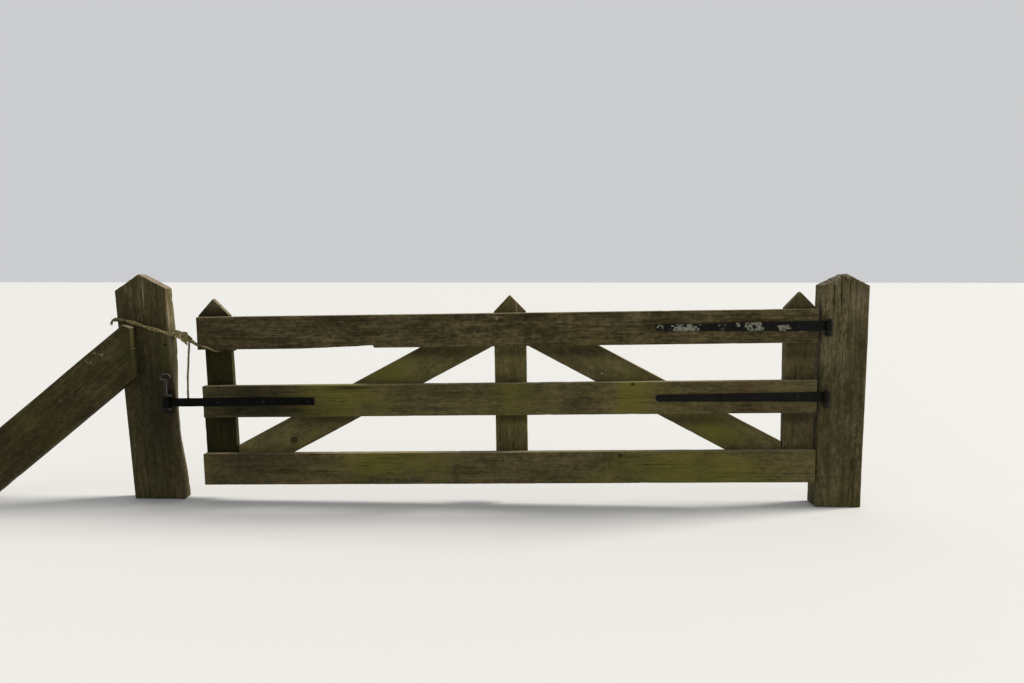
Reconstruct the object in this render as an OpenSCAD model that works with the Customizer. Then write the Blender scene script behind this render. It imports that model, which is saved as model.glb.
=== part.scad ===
// Wooden field gate: one leaf of boards between two gable-topped posts.
// X runs along the gate, Y through it and Z up, with the origin at the centre of the hinge post's foot.
// The leaf swings towards -Y about two pintles in the hinge post.

/* [Leaf] */
// Length of the leaf along its rails
leaf_l = 3594; // [2600:2:4400]
// Height of the top rail
top_rail_h = 194; // [140:1:230]
// Height of the middle and the bottom rail
lower_rail_h = 190; // [140:1:230]
// Distance between the upper edges of two neighbouring rails
rail_pitch = 408; // [330:1:480]
// Thickness of a rail
rail_t = 50; // [35:1:70]
// Bevel along the long edges of a rail
rail_bevel = 5; // [1:0.5:10]
// Width of the latch stile and of the middle upright
upright_w = 190; // [150:1:230]
// Width of the hinge stile
hinge_stile_w = 178; // [140:1:230]
// Thickness of an upright or a brace
upright_t = 40; // [30:1:70]
// How far the rails run past the foot of the latch stile
rail_overrun = 4; // [0:1:40]
// Angle by which the latch stile leans outwards in the leaf
stile_lean = 0.7; // [0:0.1:1.2]
// How far the middle upright stands from the middle of the leaf, towards the hinges
middle_shift = 43; // [0:1:120]
// Angle of the pointed heads of the uprights
head_angle = 46; // [30:1:55]
// Straight height of an upright between the top rail and its pointed head
head_straight = 5; // [0:1:60]
// Width of a brace
brace_w = 198; // [120:1:230]
// Gap between a brace and the upright beside it
brace_gap = 4; // [1:0.5:15]
// Height at which a brace meets its upright, over the bottom rail
brace_foot = 40; // [0:1:100]
// Angle by which the leaf has dropped at the latch
leaf_sag = 0.9; // [0:0.1:1.5]
// Height of the leaf over the ground at the hinges
ground_gap = 150; // [110:1:220]
// How much shorter the middle rail is at the latch
middle_rail_short = 16; // [0:1:40]
// Depth of the worn edge of the latch stile between the two upper rails
stile_wear = 29; // [2:1:40]
// Length over which the worn edge runs out behind either rail
stile_wear_run = 45; // [10:1:80]
// Length of the splinter that is missing under the top rail
splinter_l = 430; // [100:5:600]
// Height of the splinter that is missing under the top rail
splinter_h = 14; // [4:1:30]
// Distance of the splinter's thick end from the latch end of the top rail
splinter_at = 1045; // [700:5:1400]

/* [Posts] */
// Width of the hinge post
hinge_post_w = 264; // [220:1:340]
// Width of the latch post
latch_post_w = 310; // [220:1:340]
// Thickness of the hinge post
hinge_post_t = 130; // [110:1:220]
// Thickness of the latch post
latch_post_t = 82; // [70:1:180]
// Height of both posts
post_h = 1355; // [1290:1:1600]
// Angle of the latch post's gable top
latch_gable_angle = 31; // [15:1:45]
// Angle of the hinge post's gable top
hinge_gable_angle = 27; // [15:1:45]
// Gap between the hinge post and the leaf
hinge_gap = 14; // [14:1:40]
// Gap between the latch post and the leaf, at the ground
latch_gap = 119; // [80:1:160]
// Angle by which the latch post leans outwards
post_lean = 3; // [0:0.5:4]
// How far the front of the leaf stands before the front of the posts
leaf_proud = 14; // [13:1:24]

/* [Raker] */
// Width of the raking board
raker_w = 280; // [180:1:320]
// Thickness of the raking board
raker_t = 70; // [40:1:90]
// Slope of the raking board over the ground
raker_slope = 38.5; // [35:0.5:55]
// Height at which the raking board's upper edge meets the post's outer edge
raker_edge_z = 1008; // [900:1:1020]
// Height of the highest corner of the raking board's head
raker_top = 1058; // [1025:1:1070]
// Slope of the cut over the raking board's head
raker_head_cut = 20; // [0:1:30]
// Width of the raking board's lap on the post
raker_lap = 113; // [60:1:130]

/* [Hinges] */
// Length of a hinge strap on the leaf
strap_l = 919; // [500:1:1200]
// Height of a hinge strap at its eye
strap_h = 57; // [40:1:80]
// Height of a hinge strap at its tip
strap_tip_h = 38; // [24:1:56]
// Thickness of the straps and of the latch bar
strap_t = 8; // [5:0.5:9]
// Diameter of the pintles' pins
pin_d = 22; // [16:0.5:30]
// Radial clearance of a pin in its eye
pin_play = 0.1; // [0.05:0.01:0.1]
// Gap between an eye and the shoulder under it
eye_seat = 0.3; // [0.2:0.1:0.8]
// Wall of a rolled eye
eye_wall = 8; // [5:0.5:12]
// Distance of the pins from the hinge post's side
pin_inset = 30; // [24:1:60]
// Height of the pins over their eyes
pin_over = 12; // [4:1:30]
// Height of the shoulder that carries an eye
shoulder_h = 30; // [26:1:50]
// Radius of the shoulder that carries an eye
shoulder_r = 17; // [15.5:0.5:19]
// Diameter of the shank through the post
shank_d = 22; // [16:0.5:25]
// Side of the square washer behind the post
washer_w = 60; // [45:1:90]
// Thickness of the square washer behind the post
washer_t = 6; // [3:0.5:10]
// Width of the nut behind the post, over its corners
nut_w = 38; // [30:1:44]
// Thickness of the nut behind the post
nut_t = 18; // [10:1:25]
// How far the shank stands out behind its nut
shank_over = 6; // [2:1:15]

/* [Latch] */
// Length of the latch bar on the leaf
bar_l = 684; // [400:5:900]
// Height of the latch bar at its eye
bar_h = 49; // [40:1:60]
// Height of the latch bar at its end on the leaf
bar_tip_h = 45; // [30:1:60]
// Size of the cut corners at the latch bar's end on the leaf
bar_corner = 3; // [1:0.5:12]
// How far the eye of the latch bar stands past the latch post's edge
eye_reach = 44; // [32:1:80]
// Diameter of the drop pin
drop_pin_d = 18; // [14:0.5:22]
// Radial clearance of the drop pin in its keeper
drop_pin_play = 0.5; // [0.3:0.1:0.9]
// Radial clearance of the drop pin in the eye of the latch bar
latch_play = 4; // [2:0.5:5]
// Wall of the latch bar's eye
latch_eye_wall = 6; // [4:0.5:8]
// Thickness of an arm of the keeper
keeper_arm_t = 12; // [6:0.5:14]
// Thickness of the keeper's back plate
keeper_plate_t = 8; // [4:0.5:8]
// Width of the keeper
keeper_w = 46; // [38:1:60]
// Gap over and under the latch bar in the keeper
keeper_gap = 11; // [7:0.5:12]
// Height of the plate over and under the arms
keeper_end = 22; // [15:1:40]
// Width of the pin's handle
handle_w = 69; // [50:1:80]
// Height of the pin's handle
handle_h = 41; // [34:1:50]
// Diameter of the handle's rod
handle_rod = 9; // [6:0.5:11]

/* [Rope] */
// Diameter of the doubled rope round the post
loop_d = 20; // [12:1:28]
// Diameter of the rope round the leaf
tie_d = 14; // [8:1:18]
// Height over the top rail's lower edge at which the rope crosses the rail's end
tie_rise = 38; // [20:1:90]
// Distance from the latch stile's inner side at which the rope dives under the top rail
tie_dive = 82; // [20:1:120]
// Diameter of the rope's hanging end
tail_d = 12; // [8:1:16]
// Height of the loop at the middle of the post
loop_z = 1050; // [1000:1:1100]
// Slope of the loop across the post
loop_slope = 19.5; // [5:0.5:24]
// Length of the knot
knot_l = 100; // [60:1:130]
// Radius of the knot at its middle
knot_r = 22; // [18:1:26]
// Radius of the knot at its ends
knot_end_r = 12; // [8:1:16]
// Slope of the knot across the gap
knot_slope = 25; // [5:1:40]
// Distance of the knot's middle from the side of the latch post
knot_off = 75; // [60:1:100]
// Distance of the knot behind the front of the latch post
knot_in = 18; // [10:1:40]

/* [Hidden] */
$fn = 48;
tiny = 0.01;
seat = 0.3;
far = 3 * leaf_l;

// Planes along Y
post_front = -hinge_post_t / 2;
hinge_post_back = hinge_post_t / 2;
latch_post_back = post_front + latch_post_t;
leaf_front = post_front - leaf_proud;
rail_back = leaf_front + rail_t;
upright_back = rail_back + upright_t;
eye_r = pin_d / 2 + pin_play + eye_wall;
pin_y = leaf_front - eye_r;
latch_eye_bore = drop_pin_d / 2 + latch_play;
latch_eye_r = latch_eye_bore + latch_eye_wall;
latch_eye_y = leaf_front - latch_eye_r;

// Heights in the leaf, counted from its lower edge
bottom_rail_z = 0;
middle_rail_z = rail_pitch;
top_rail_z = bottom_rail_z + lower_rail_h + 2 * rail_pitch - top_rail_h;
leaf_top = top_rail_z + top_rail_h;
upper_hinge_z = top_rail_z + top_rail_h / 2;
lower_hinge_z = middle_rail_z + lower_rail_h / 2;

// Places along X
leaf_end_x = -hinge_post_w / 2 - hinge_gap;
pin_x = -hinge_post_w / 2 + pin_inset;
latch_end_x = leaf_end_x - leaf_l;
latch_foot_x = latch_end_x - latch_gap - latch_post_w / 2;

// Places along the leaf, counted from its hinge end
hinge_stile_u = 0;
latch_stile_u = leaf_l - rail_overrun - upright_w;
middle_upright_u = leaf_l / 2 - middle_shift - upright_w / 2;

// Edge of the latch post at a height, and the place of the latch bar's eye
function latch_edge_x(z) = latch_foot_x + latch_post_w / 2 / cos(post_lean) - z * tan(post_lean);
eye_drop = (leaf_l + latch_gap) * sin(leaf_sag);
latch_eye_z = ground_gap + lower_hinge_z - eye_drop;
latch_eye_x = latch_edge_x(latch_eye_z) - eye_reach;

wood = [0.36, 0.32, 0.22];
old_wood = [0.42, 0.37, 0.28];
iron = [0.13, 0.12, 0.11];
hemp = [0.62, 0.53, 0.36];

// Puts what is drawn in the leaf's own frame into its dropped place
module leaf_place() {
    translate([pin_x, 0, ground_gap + lower_hinge_z])
        rotate([0, -leaf_sag, 0])
            translate([leaf_end_x - pin_x, 0, -lower_hinge_z])
                children();
}

// Puts what is drawn on an upright latch post onto the leaning one
module latch_place() {
    translate([latch_foot_x, 0, 0])
        rotate([0, -post_lean, 0])
            children();
}

// Extrudes an outline drawn in X and Z from y0 to y1
module slab(y0, y1) {
    translate([0, y1, 0])
        rotate([90, 0, 0])
            linear_extrude(y1 - y0)
                children();
}

// Outline of an upright board whose top is a gable
module gabled_outline(w, h, angle) {
    rise = w / 2 * tan(angle);
    polygon([[0, 0], [w, 0], [w, h - rise], [w / 2, h], [0, h - rise]]);
}

// Part of the outline that lies above the ground
module above_ground() {
    intersection() {
        children();
        translate([-far / 2, 0])
            square([far, far]);
    }
}

module hinge_post() {
    color(old_wood)
        difference() {
            translate([-hinge_post_w / 2, 0, 0])
                slab(post_front, hinge_post_back)
                    gabled_outline(hinge_post_w, post_h, hinge_gable_angle);
            for (z = [upper_pin_z(), lower_pin_z()])
                shank_hole(z);
        }
}

// The leaning post is drawn a little too long at its foot and cut level with the ground
module latch_post() {
    foot = latch_post_w * tan(post_lean);
    color(old_wood)
        translate([latch_foot_x, 0, 0])
            slab(post_front, latch_post_back)
                above_ground()
                    rotate(post_lean)
                        translate([-latch_post_w / 2, -foot])
                            gabled_outline(latch_post_w, post_h + foot, latch_gable_angle);
}

// The board's head is cut under the rope, its lap along the post and its foot along the ground
module raking_board() {
    edge_x = -latch_post_w / 2 - raker_edge_z * sin(post_lean);
    head_x = edge_x + (raker_top - raker_edge_z) / tan(raker_slope);
    color(old_wood)
        translate([latch_foot_x, 0, 0])
            slab(post_front - raker_t, post_front)
                above_ground()
                    intersection() {
                        translate([edge_x, raker_edge_z])
                            rotate(raker_slope)
                                translate([-far / 2, -raker_w])
                                    square([far, raker_w]);
                        translate([head_x, raker_top])
                            rotate(-raker_head_cut)
                                translate([-far / 2, -far])
                                    square([far, far]);
                        rotate(post_lean)
                            translate([-latch_post_w / 2 + raker_lap - far, -far / 2])
                                square([far, far]);
                    }
}

// Height of the middle of an eye
function upper_pin_z() = ground_gap + lower_hinge_z + (upper_hinge_z - lower_hinge_z) * cos(leaf_sag);
function lower_pin_z() = ground_gap + lower_hinge_z;
function shank_z(z) = z - strap_h / 2 - eye_seat - shoulder_h / 2;

module shank_hole(z) {
    translate([pin_x, 0, shank_z(z)])
        rotate([90, 0, 0])
            cylinder(h = hinge_post_t + 2, d = shank_d, center = true);
}

// A pin on a shoulder, whose shank goes through the post to a washer and a nut
module pintle(z) {
    shoulder_top = z - strap_h / 2 - eye_seat;
    nut_y = hinge_post_back + washer_t + nut_t;
    shank_end_y = nut_y + shank_over;
    color(iron)
        union() {
            translate([pin_x, pin_y, shoulder_top - shoulder_h])
                cylinder(h = shoulder_h, r = shoulder_r);
            translate([pin_x, pin_y, shoulder_top - tiny])
                cylinder(h = tiny + eye_seat + strap_h + pin_over, d = pin_d);
            translate([pin_x, shank_end_y, shank_z(z)])
                rotate([90, 0, 0])
                    cylinder(h = shank_end_y - pin_y, d = shank_d);
            translate([pin_x - washer_w / 2, hinge_post_back, shank_z(z) - washer_w / 2])
                cube([washer_w, washer_t, washer_w]);
            translate([pin_x, nut_y, shank_z(z)])
                rotate([90, 0, 0])
                    cylinder(h = nut_t, d = nut_w, $fn = 6);
        }
}

module upper_pintle() {
    pintle(upper_pin_z());
}

module lower_pintle() {
    pintle(lower_pin_z());
}

// Profile of a rail with bevelled long edges, drawn in Y and Z
module rail_profile(h) {
    b = rail_bevel;
    polygon([
        [b, 0], [rail_t - b, 0], [rail_t, b], [rail_t, h - b],
        [rail_t - b, h], [b, h], [0, h - b], [0, b]
    ]);
}

module top_rail() {
    color(wood)
        leaf_place()
            difference() {
                rail_board(top_rail_z, top_rail_h);
                slab(leaf_front - 1, rail_back + 1)
                    polygon([
                        [-leaf_l + splinter_at, top_rail_z - 1],
                        [-leaf_l + splinter_at, top_rail_z + splinter_h],
                        [-leaf_l + splinter_at - splinter_l, top_rail_z],
                        [-leaf_l + splinter_at - splinter_l, top_rail_z - 1]
                    ]);
            }
}

// A bevelled board along X, from the hinge end of the leaf to its latch end
module rail_board(z, h, short = 0) {
    translate([-leaf_l + short, leaf_front, z])
        rotate([90, 0, 90])
            linear_extrude(leaf_l - short)
                rail_profile(h);
}

module middle_rail() {
    color(wood)
        leaf_place()
            rail_board(middle_rail_z, lower_rail_h, middle_rail_short);
}

module bottom_rail() {
    color(wood)
        leaf_place()
            rail_board(bottom_rail_z, lower_rail_h);
}

// An upright board behind the rails, whose side nearer the hinges is at u
module upright(u, w) {
    head_h = w / 2 * tan(head_angle);
    translate([-u - w, 0, 0])
        slab(rail_back, upright_back)
            gabled_outline(w, leaf_top + head_straight + head_h, head_angle);
}

// How far the leaning latch stile stands out over its foot at a height in the leaf
function stile_out(z) = z * tan(stile_lean);

// The outer edge of the latch stile is worn hollow where the rope has rubbed it
module latch_stile() {
    outer = -latch_stile_u - upright_w;
    low = middle_rail_z + lower_rail_h - 2 * rail_bevel;
    high = top_rail_z + 2 * rail_bevel;
    color(wood)
        leaf_place()
            translate([outer, 0, 0])
                rotate([0, -stile_lean, 0])
                    translate([-outer, 0, 0])
                        difference() {
                            upright(latch_stile_u, upright_w);
                            slab(rail_back - 1, upright_back + 1)
                                polygon([
                                    [outer - 1, low - stile_wear_run], [outer, low - stile_wear_run],
                                    [outer + stile_wear, low], [outer + stile_wear, high],
                                    [outer, high + stile_wear_run], [outer - 1, high + stile_wear_run]
                                ]);
                        }
}

module middle_upright() {
    color(wood)
        leaf_place()
            upright(middle_upright_u, upright_w);
}

module hinge_stile() {
    color(wood)
        leaf_place()
            upright(hinge_stile_u, hinge_stile_w);
}

// A board that climbs from the foot at u0 to the top rail at u1, cut along both uprights
module brace(u0, u1) {
    run = abs(u1 - u0);
    rise = top_rail_z - lower_rail_h - brace_foot;
    slope = atan(rise / run) + asin(brace_w / norm([run, rise]));
    color(wood)
        leaf_place()
            translate([-u0, 0, 0])
                slab(rail_back, upright_back)
                    mirror([u1 > u0 ? 1 : 0, 0])
                        intersection() {
                            translate([0, lower_rail_h + brace_foot])
                                rotate(slope)
                                    translate([-run, -brace_w])
                                        square([3 * run, brace_w]);
                            translate([brace_gap, rail_bevel])
                                square([run - 2 * brace_gap, leaf_top - 2 * rail_bevel]);
                        }
}

module latch_brace() {
    brace(latch_stile_u, middle_upright_u + upright_w);
}

module hinge_brace() {
    brace(hinge_stile_u + hinge_stile_w, middle_upright_u);
}

// Outline of a tapered strap with a round tip, from x = 0 to its tip at x = -length
module strap_outline(length, root_h, tip_h) {
    union() {
        polygon([
            [0, -root_h / 2], [0, root_h / 2],
            [-length + tip_h / 2, tip_h / 2], [-length + tip_h / 2, -tip_h / 2]
        ]);
        translate([-length + tip_h / 2, 0])
            circle(d = tip_h);
    }
}

// Outline of a tapered bar with a square end, whose corners are cut off over a length c
module bar_outline(length, root_h, tip_h, c) {
    polygon([
        [0, -root_h / 2], [0, root_h / 2],
        [-length + c, tip_h / 2], [-length, tip_h / 2 - c],
        [-length, -tip_h / 2 + c], [-length + c, -tip_h / 2]
    ]);
}

// A strap on the front of the leaf, whose rolled eye turns on a pintle
module hinge_strap(leaf_z, eye_z) {
    reach = strap_l + pin_x - leaf_end_x;
    color(iron)
        difference() {
            union() {
                leaf_place()
                    translate([pin_x - leaf_end_x, 0, leaf_z])
                        slab(leaf_front - strap_t, leaf_front)
                            strap_outline(reach, strap_h, strap_tip_h);
                translate([pin_x, pin_y, eye_z - strap_h / 2])
                    cylinder(h = strap_h, r = eye_r);
            }
            translate([pin_x, pin_y, eye_z - strap_h])
                cylinder(h = 2 * strap_h, r = pin_d / 2 + pin_play);
        }
}

module upper_strap() {
    hinge_strap(upper_hinge_z, upper_pin_z());
}

module lower_strap() {
    hinge_strap(lower_hinge_z, lower_pin_z());
}

// The bar ends in an upright eye in front of the latch post
module latch_bar() {
    reach = latch_end_x - latch_eye_x;
    color(iron)
        difference() {
            union() {
                leaf_place()
                    translate([-leaf_l - reach, 0, lower_hinge_z])
                        mirror([1, 0, 0])
                            slab(leaf_front - strap_t, leaf_front)
                                bar_outline(bar_l + reach, bar_h, bar_tip_h, bar_corner);
                translate([latch_eye_x, latch_eye_y, latch_eye_z - bar_h / 2])
                    cylinder(h = bar_h, r = latch_eye_r);
            }
            translate([latch_eye_x, latch_eye_y, latch_eye_z - bar_h])
                cylinder(h = 2 * bar_h, r = latch_eye_bore);
        }
}

keeper_arm_z = bar_h / 2 + keeper_gap;
drop_stroke = bar_h + 2 * keeper_gap + keeper_arm_t;

// A plate on the latch post with an arm over and an arm under the eye of the latch bar
module latch_keeper() {
    plate_h = 2 * (keeper_arm_z + keeper_arm_t + keeper_end);
    color(iron)
        difference() {
            union() {
                translate([
                    latch_eye_x - keeper_w / 2,
                    post_front - keeper_plate_t,
                    latch_eye_z - plate_h / 2
                ])
                    cube([keeper_w, keeper_plate_t, plate_h]);
                for (z = [keeper_arm_z, -keeper_arm_z - keeper_arm_t])
                    translate([latch_eye_x, 0, latch_eye_z + z])
                        keeper_arm();
            }
            translate([latch_eye_x, latch_eye_y, latch_eye_z - plate_h])
                cylinder(h = 2 * plate_h, r = drop_pin_d / 2 + drop_pin_play);
        }
}

module keeper_arm() {
    translate([-keeper_w / 2, latch_eye_y, 0])
        cube([keeper_w, post_front - latch_eye_y, keeper_arm_t]);
    translate([0, latch_eye_y, 0])
        cylinder(h = keeper_arm_t, d = keeper_w);
}

// The pin stands lifted in the keeper's upper arm, with an oval handle on its head
module drop_pin() {
    pin_foot = latch_eye_z + keeper_arm_z;
    pin_l = keeper_arm_t + drop_stroke + handle_rod / 2 + seat;
    handle_z = pin_foot + pin_l + handle_h / 2 - handle_rod / 2;
    color(iron)
        union() {
            translate([latch_eye_x, latch_eye_y, pin_foot])
                cylinder(h = pin_l, d = drop_pin_d);
            translate([latch_eye_x, latch_eye_y, handle_z])
                rotate([90, 0, 0])
                    oval_ring(handle_w, handle_h, handle_rod);
        }
}

// A closed oval of round rod in the XY plane, w long and h high
module oval_ring(w, h, rod) {
    r = (h - rod) / 2;
    straight = w - h;
    for (side = [-1, 1]) {
        translate([side * straight / 2, 0, 0])
            rotate([0, 0, side * -90])
                rotate_extrude(angle = 180)
                    translate([r, 0])
                        circle(d = rod);
        translate([-straight / 2, side * r, 0])
            rotate([0, 90, 0])
                cylinder(h = straight, d = rod);
    }
}

// Points round an upright edge at c and height z, from angle a0 to a1
// Their chords touch a circle of radius r
function wrap(c, r, a0, a1, z, n = 4) = [
    for (i = [0 : n])
        let (a = a0 + (a1 - a0) * i / n, outer_r = r / cos((a1 - a0) / n / 2))
            [c[0] + outer_r * cos(a), c[1] + outer_r * sin(a), z]
];

function unit(v) = v / norm(v);

// Direction of a path at its point i
function heading(p, i, closed) =
    let (n = len(p))
        unit(p[closed ? (i + 1) % n : min(i + 1, n - 1)] - p[closed ? (i + n - 1) % n : max(i - 1, 0)]);

// A round tube along the path p, with sides set against the direction ref
module tube(p, d, closed = false, ref = [0, 0, 1], sides = 8) {
    n = len(p);
    rings = [
        for (i = [0 : n - 1])
            let (t = heading(p, i, closed), side = unit(cross(t, ref)), up = cross(side, t))
                for (k = [0 : sides - 1])
                    p[i] + d / 2 * (cos(360 * k / sides) * side + sin(360 * k / sides) * up)
    ];
    walls = [
        for (i = [0 : n - (closed ? 1 : 2)], k = [0 : sides - 1])
            let (j = (i + 1) % n, m = (k + 1) % sides)
                [i * sides + k, i * sides + m, j * sides + m, j * sides + k]
    ];
    ends = closed ? [] : [
        [for (k = [0 : sides - 1]) sides - 1 - k],
        [for (k = [0 : sides - 1]) (n - 1) * sides + k]
    ];
    polyhedron(points = rings, faces = concat(walls, ends), convexity = 6);
}

// The knot hangs between the post and the leaf, drawn in the frame of the leaning post
loop_r = loop_d / 2;
knot_x = latch_post_w / 2 + knot_off;
knot_y = post_front + knot_in;
knot_reach = knot_l / 2 - knot_end_r;
knot_neck = 0.9;
function loop_height(x) = loop_z - x * tan(loop_slope);

// Place in the leaning post's frame at a distance along the knot, towards the leaf
function along_knot(d) = [
    knot_x + d * cos(knot_slope),
    knot_y,
    loop_height(knot_x) - d * sin(knot_slope)
];

// Place in the world of a point given in the leaning post's frame
function latch_point(p) = [
    latch_foot_x + p[0] * cos(post_lean) - p[2] * sin(post_lean),
    p[1],
    p[0] * sin(post_lean) + p[2] * cos(post_lean)
];

// The loop leaves the knot, goes round the front, the outer side and the back, and comes back
function loop_path() =
    let (
        hx = latch_post_w / 2,
        r = loop_r + seat,
        start = along_knot(-0.7 * knot_reach),
        front_turn = atan2(knot_y - post_front, start[0] - hx),
        back_turn = atan2(knot_y - latch_post_back, start[0] - hx)
    )
    concat(
        [start - [0, loop_r, 0]],
        wrap([hx, post_front], r, front_turn - 90, -90, loop_height(hx), 2),
        wrap([-hx, post_front], r, -90, -180, loop_height(-hx)),
        wrap([-hx, latch_post_back], r, -180, -270, loop_height(-hx)),
        wrap([hx, latch_post_back], r, 90, 90 + back_turn, loop_height(hx), 3),
        [start + [0, loop_r, 0]]
    );

module rope_loop() {
    color(hemp)
        latch_place()
            tube(loop_path(), loop_d);
}

// The knot is a ball that tapers to a smaller ball at either end
module rope_knot() {
    color(hemp)
        translate(latch_point(along_knot(0)))
            rotate([0, 90 + knot_slope - post_lean, 0])
                union() {
                    sphere(r = knot_r, $fn = 32);
                    for (side = [0, 1])
                        mirror([0, 0, side]) {
                            cylinder(h = knot_reach, r1 = knot_neck * knot_r, r2 = knot_neck * knot_end_r);
                            translate([0, 0, knot_reach])
                                sphere(r = knot_end_r, $fn = 32);
                        }
                }
}

// Route of the rope's hanging end, from the underside of the knot
tail_route = [
    [0, 0, 0], [-2, 0, -28], [-5, 0, -56], [-8, 1, -84], [-10, 1, -112], [-12, 2, -140], [-15, 2, -168],
    [-18, 2, -196], [-19, 1, -224], [-19, 0, -252], [-20, 0, -280], [-20, -1, -308], [-20, 0, -336],
    [-20, 0, -364]
];
tail_shift = 5;

// The end hangs under the knot's smaller ball, shifted towards the post
module rope_tail() {
    top = latch_point(along_knot(knot_reach)) - [tail_shift, 0, knot_end_r + seat];
    color(hemp)
        tube([for (p = tail_route) top + p], tail_d, ref = [0, 1, 0]);
}

// Place in the world of a point given in the leaf's own frame
function leaf_point(x, y, z) =
    let (qx = x + leaf_end_x - pin_x, qz = z - lower_hinge_z)
    [
        pin_x + qx * cos(leaf_sag) - qz * sin(leaf_sag),
        y,
        ground_gap + lower_hinge_z + qx * sin(leaf_sag) + qz * cos(leaf_sag)
    ];

// The tie leaves the knot, crosses the end of the top rail, dives under it and goes round the stile
function tie_path() =
    let (
        r = tie_d / 2 + seat,
        rail_z = top_rail_z,
        high = rail_z + tie_rise,
        low = rail_z - r,
        outer = -leaf_l + rail_overrun - stile_out(low),
        near = outer + stile_wear,
        side = outer + upright_w,
        dive = side - tie_dive,
        dive_turn = atan2(rail_t - r, tie_dive - r) - 90,
        knot = latch_point(along_knot(knot_reach)),
        front = leaf_point(-leaf_l, leaf_front, high),
        back = leaf_point(near, upright_back, low),
        front_turn = atan2(front[1] - knot[1], front[0] - knot[0]) - 90,
        back_turn = atan2(knot[1] - back[1], knot[0] - back[0]) + 270,
        points = concat(
            wrap([-leaf_l, leaf_front], r, front_turn, -90, high, 2),
            [
                [dive - r, leaf_front - r, rail_z + rail_bevel],
                [dive, leaf_front - r, low],
                [dive + r, leaf_front + r, low]
            ],
            wrap([side, rail_back], r, dive_turn, 0, low, 3),
            wrap([side, upright_back], r, 0, 90, low),
            wrap([near, upright_back], r, 90, back_turn, low, 3)
        ),
        route = [for (p = points) leaf_point(p[0], p[1], p[2])],
        last = route[len(route) - 1],
        gap = knot_end_r + seat
    )
    concat([knot + gap * unit(route[0] - knot)], route, [knot + gap * unit(last - knot)]);

module rope_tie() {
    color(hemp)
        tube(tie_path(), tie_d);
}

hinge_post();
latch_post();
raking_board();
upper_pintle();
lower_pintle();
latch_keeper();
rope_loop();
rope_knot();
rope_tail();
top_rail();
middle_rail();
bottom_rail();
latch_stile();
middle_upright();
hinge_stile();
latch_brace();
hinge_brace();
upper_strap();
lower_strap();
latch_bar();
rope_tie();
drop_pin();
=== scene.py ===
"""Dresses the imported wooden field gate: rope, weathered boards, forged ironwork, camera and light."""
from math import cos, dist, pi, radians, sin

import bpy
import numpy as np
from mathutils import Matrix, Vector
from numpy.linalg import norm


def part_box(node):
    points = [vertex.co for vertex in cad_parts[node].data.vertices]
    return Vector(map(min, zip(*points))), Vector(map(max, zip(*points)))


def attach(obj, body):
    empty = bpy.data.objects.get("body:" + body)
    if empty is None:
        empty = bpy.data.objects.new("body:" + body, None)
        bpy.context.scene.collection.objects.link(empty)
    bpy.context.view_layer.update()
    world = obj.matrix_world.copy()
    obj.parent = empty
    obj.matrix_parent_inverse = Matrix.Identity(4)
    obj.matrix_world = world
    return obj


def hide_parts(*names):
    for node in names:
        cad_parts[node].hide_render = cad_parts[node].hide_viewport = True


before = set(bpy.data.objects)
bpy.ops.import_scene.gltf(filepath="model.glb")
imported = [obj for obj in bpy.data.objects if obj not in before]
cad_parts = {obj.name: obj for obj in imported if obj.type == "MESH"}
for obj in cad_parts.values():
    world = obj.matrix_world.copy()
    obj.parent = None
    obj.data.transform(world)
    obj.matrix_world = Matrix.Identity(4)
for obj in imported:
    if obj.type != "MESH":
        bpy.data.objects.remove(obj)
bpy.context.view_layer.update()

MM = 0.001
TURN = 2 * pi
UP, FRONT = np.array([0.0, 0, 1]), np.array([0.0, -1, 0])


def tilted_axes(degrees):
    """The X and Z axes of a frame turned towards -X about the world's Y."""
    angle = radians(degrees)
    return np.array([cos(angle), 0, sin(angle)]), np.array([-sin(angle), 0, cos(angle)])


LEAF_X, LEAF_Z = tilted_axes(0.9)
LEAN_X, LEAN_Z = tilted_axes(3)
STILE_Z = tilted_axes(1.6)[1]
LATCH_POST = (np.array([-4.014, 0, 0]), LEAN_X, -FRONT, LEAN_Z)  # its foot and its axes


def placed(name, data):
    """A new object in the scene."""
    obj = bpy.data.objects.new(name, data)
    bpy.context.scene.collection.objects.link(obj)
    return obj


# Camera

CAMERA_AT = (-1.7267, -4.3087, 1.3628)
LOOKS_DOWN, LOOKS_LEFT = 5.4, 2.25
IMAGE_PX, FOCAL_PX, SENSOR_MM = 1024, 737, 36


def add_camera():
    """The photograph's view."""
    data = bpy.data.cameras.new("camera")
    data.sensor_width = SENSOR_MM
    data.lens = FOCAL_PX / IMAGE_PX * SENSOR_MM
    data.clip_end = 300
    camera = placed("camera", data)
    camera.location = CAMERA_AT
    camera.rotation_euler = (radians(90 - LOOKS_DOWN), 0, radians(LOOKS_LEFT))
    bpy.context.scene.camera = camera


add_camera()


# Noise

WORD = 0xFFFFFFFF


def lattice_value(ix, iy, iz, seed):
    """A fixed number from -1 to 1 for each lattice point."""
    h = (ix * 374761393 + iy * 668265263 + iz * 1440662683 + seed * 974634777) & WORD
    h = ((h ^ (h >> 13)) * 1274126177) & WORD
    h = ((h ^ (h >> 15)) * 2246822519) & WORD
    return (h ^ (h >> 16)) / WORD * 2 - 1


def noise(points, size, seed=0):
    """Smooth noise from -1 to 1, its waves as long as size along each axis."""
    p = np.asarray(points, float) / np.asarray(size, float)
    cell = np.floor(p).astype(np.int64)
    f = p - cell
    f = f * f * (3 - 2 * f)
    total = np.zeros(len(p))
    for dx, dy, dz in np.ndindex(2, 2, 2):
        weight = np.abs(1 - dx - f[:, 0]) * np.abs(1 - dy - f[:, 1]) * np.abs(1 - dz - f[:, 2])
        total += weight * lattice_value(cell[:, 0] + dx, cell[:, 1] + dy, cell[:, 2] + dz, seed)
    return total


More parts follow.
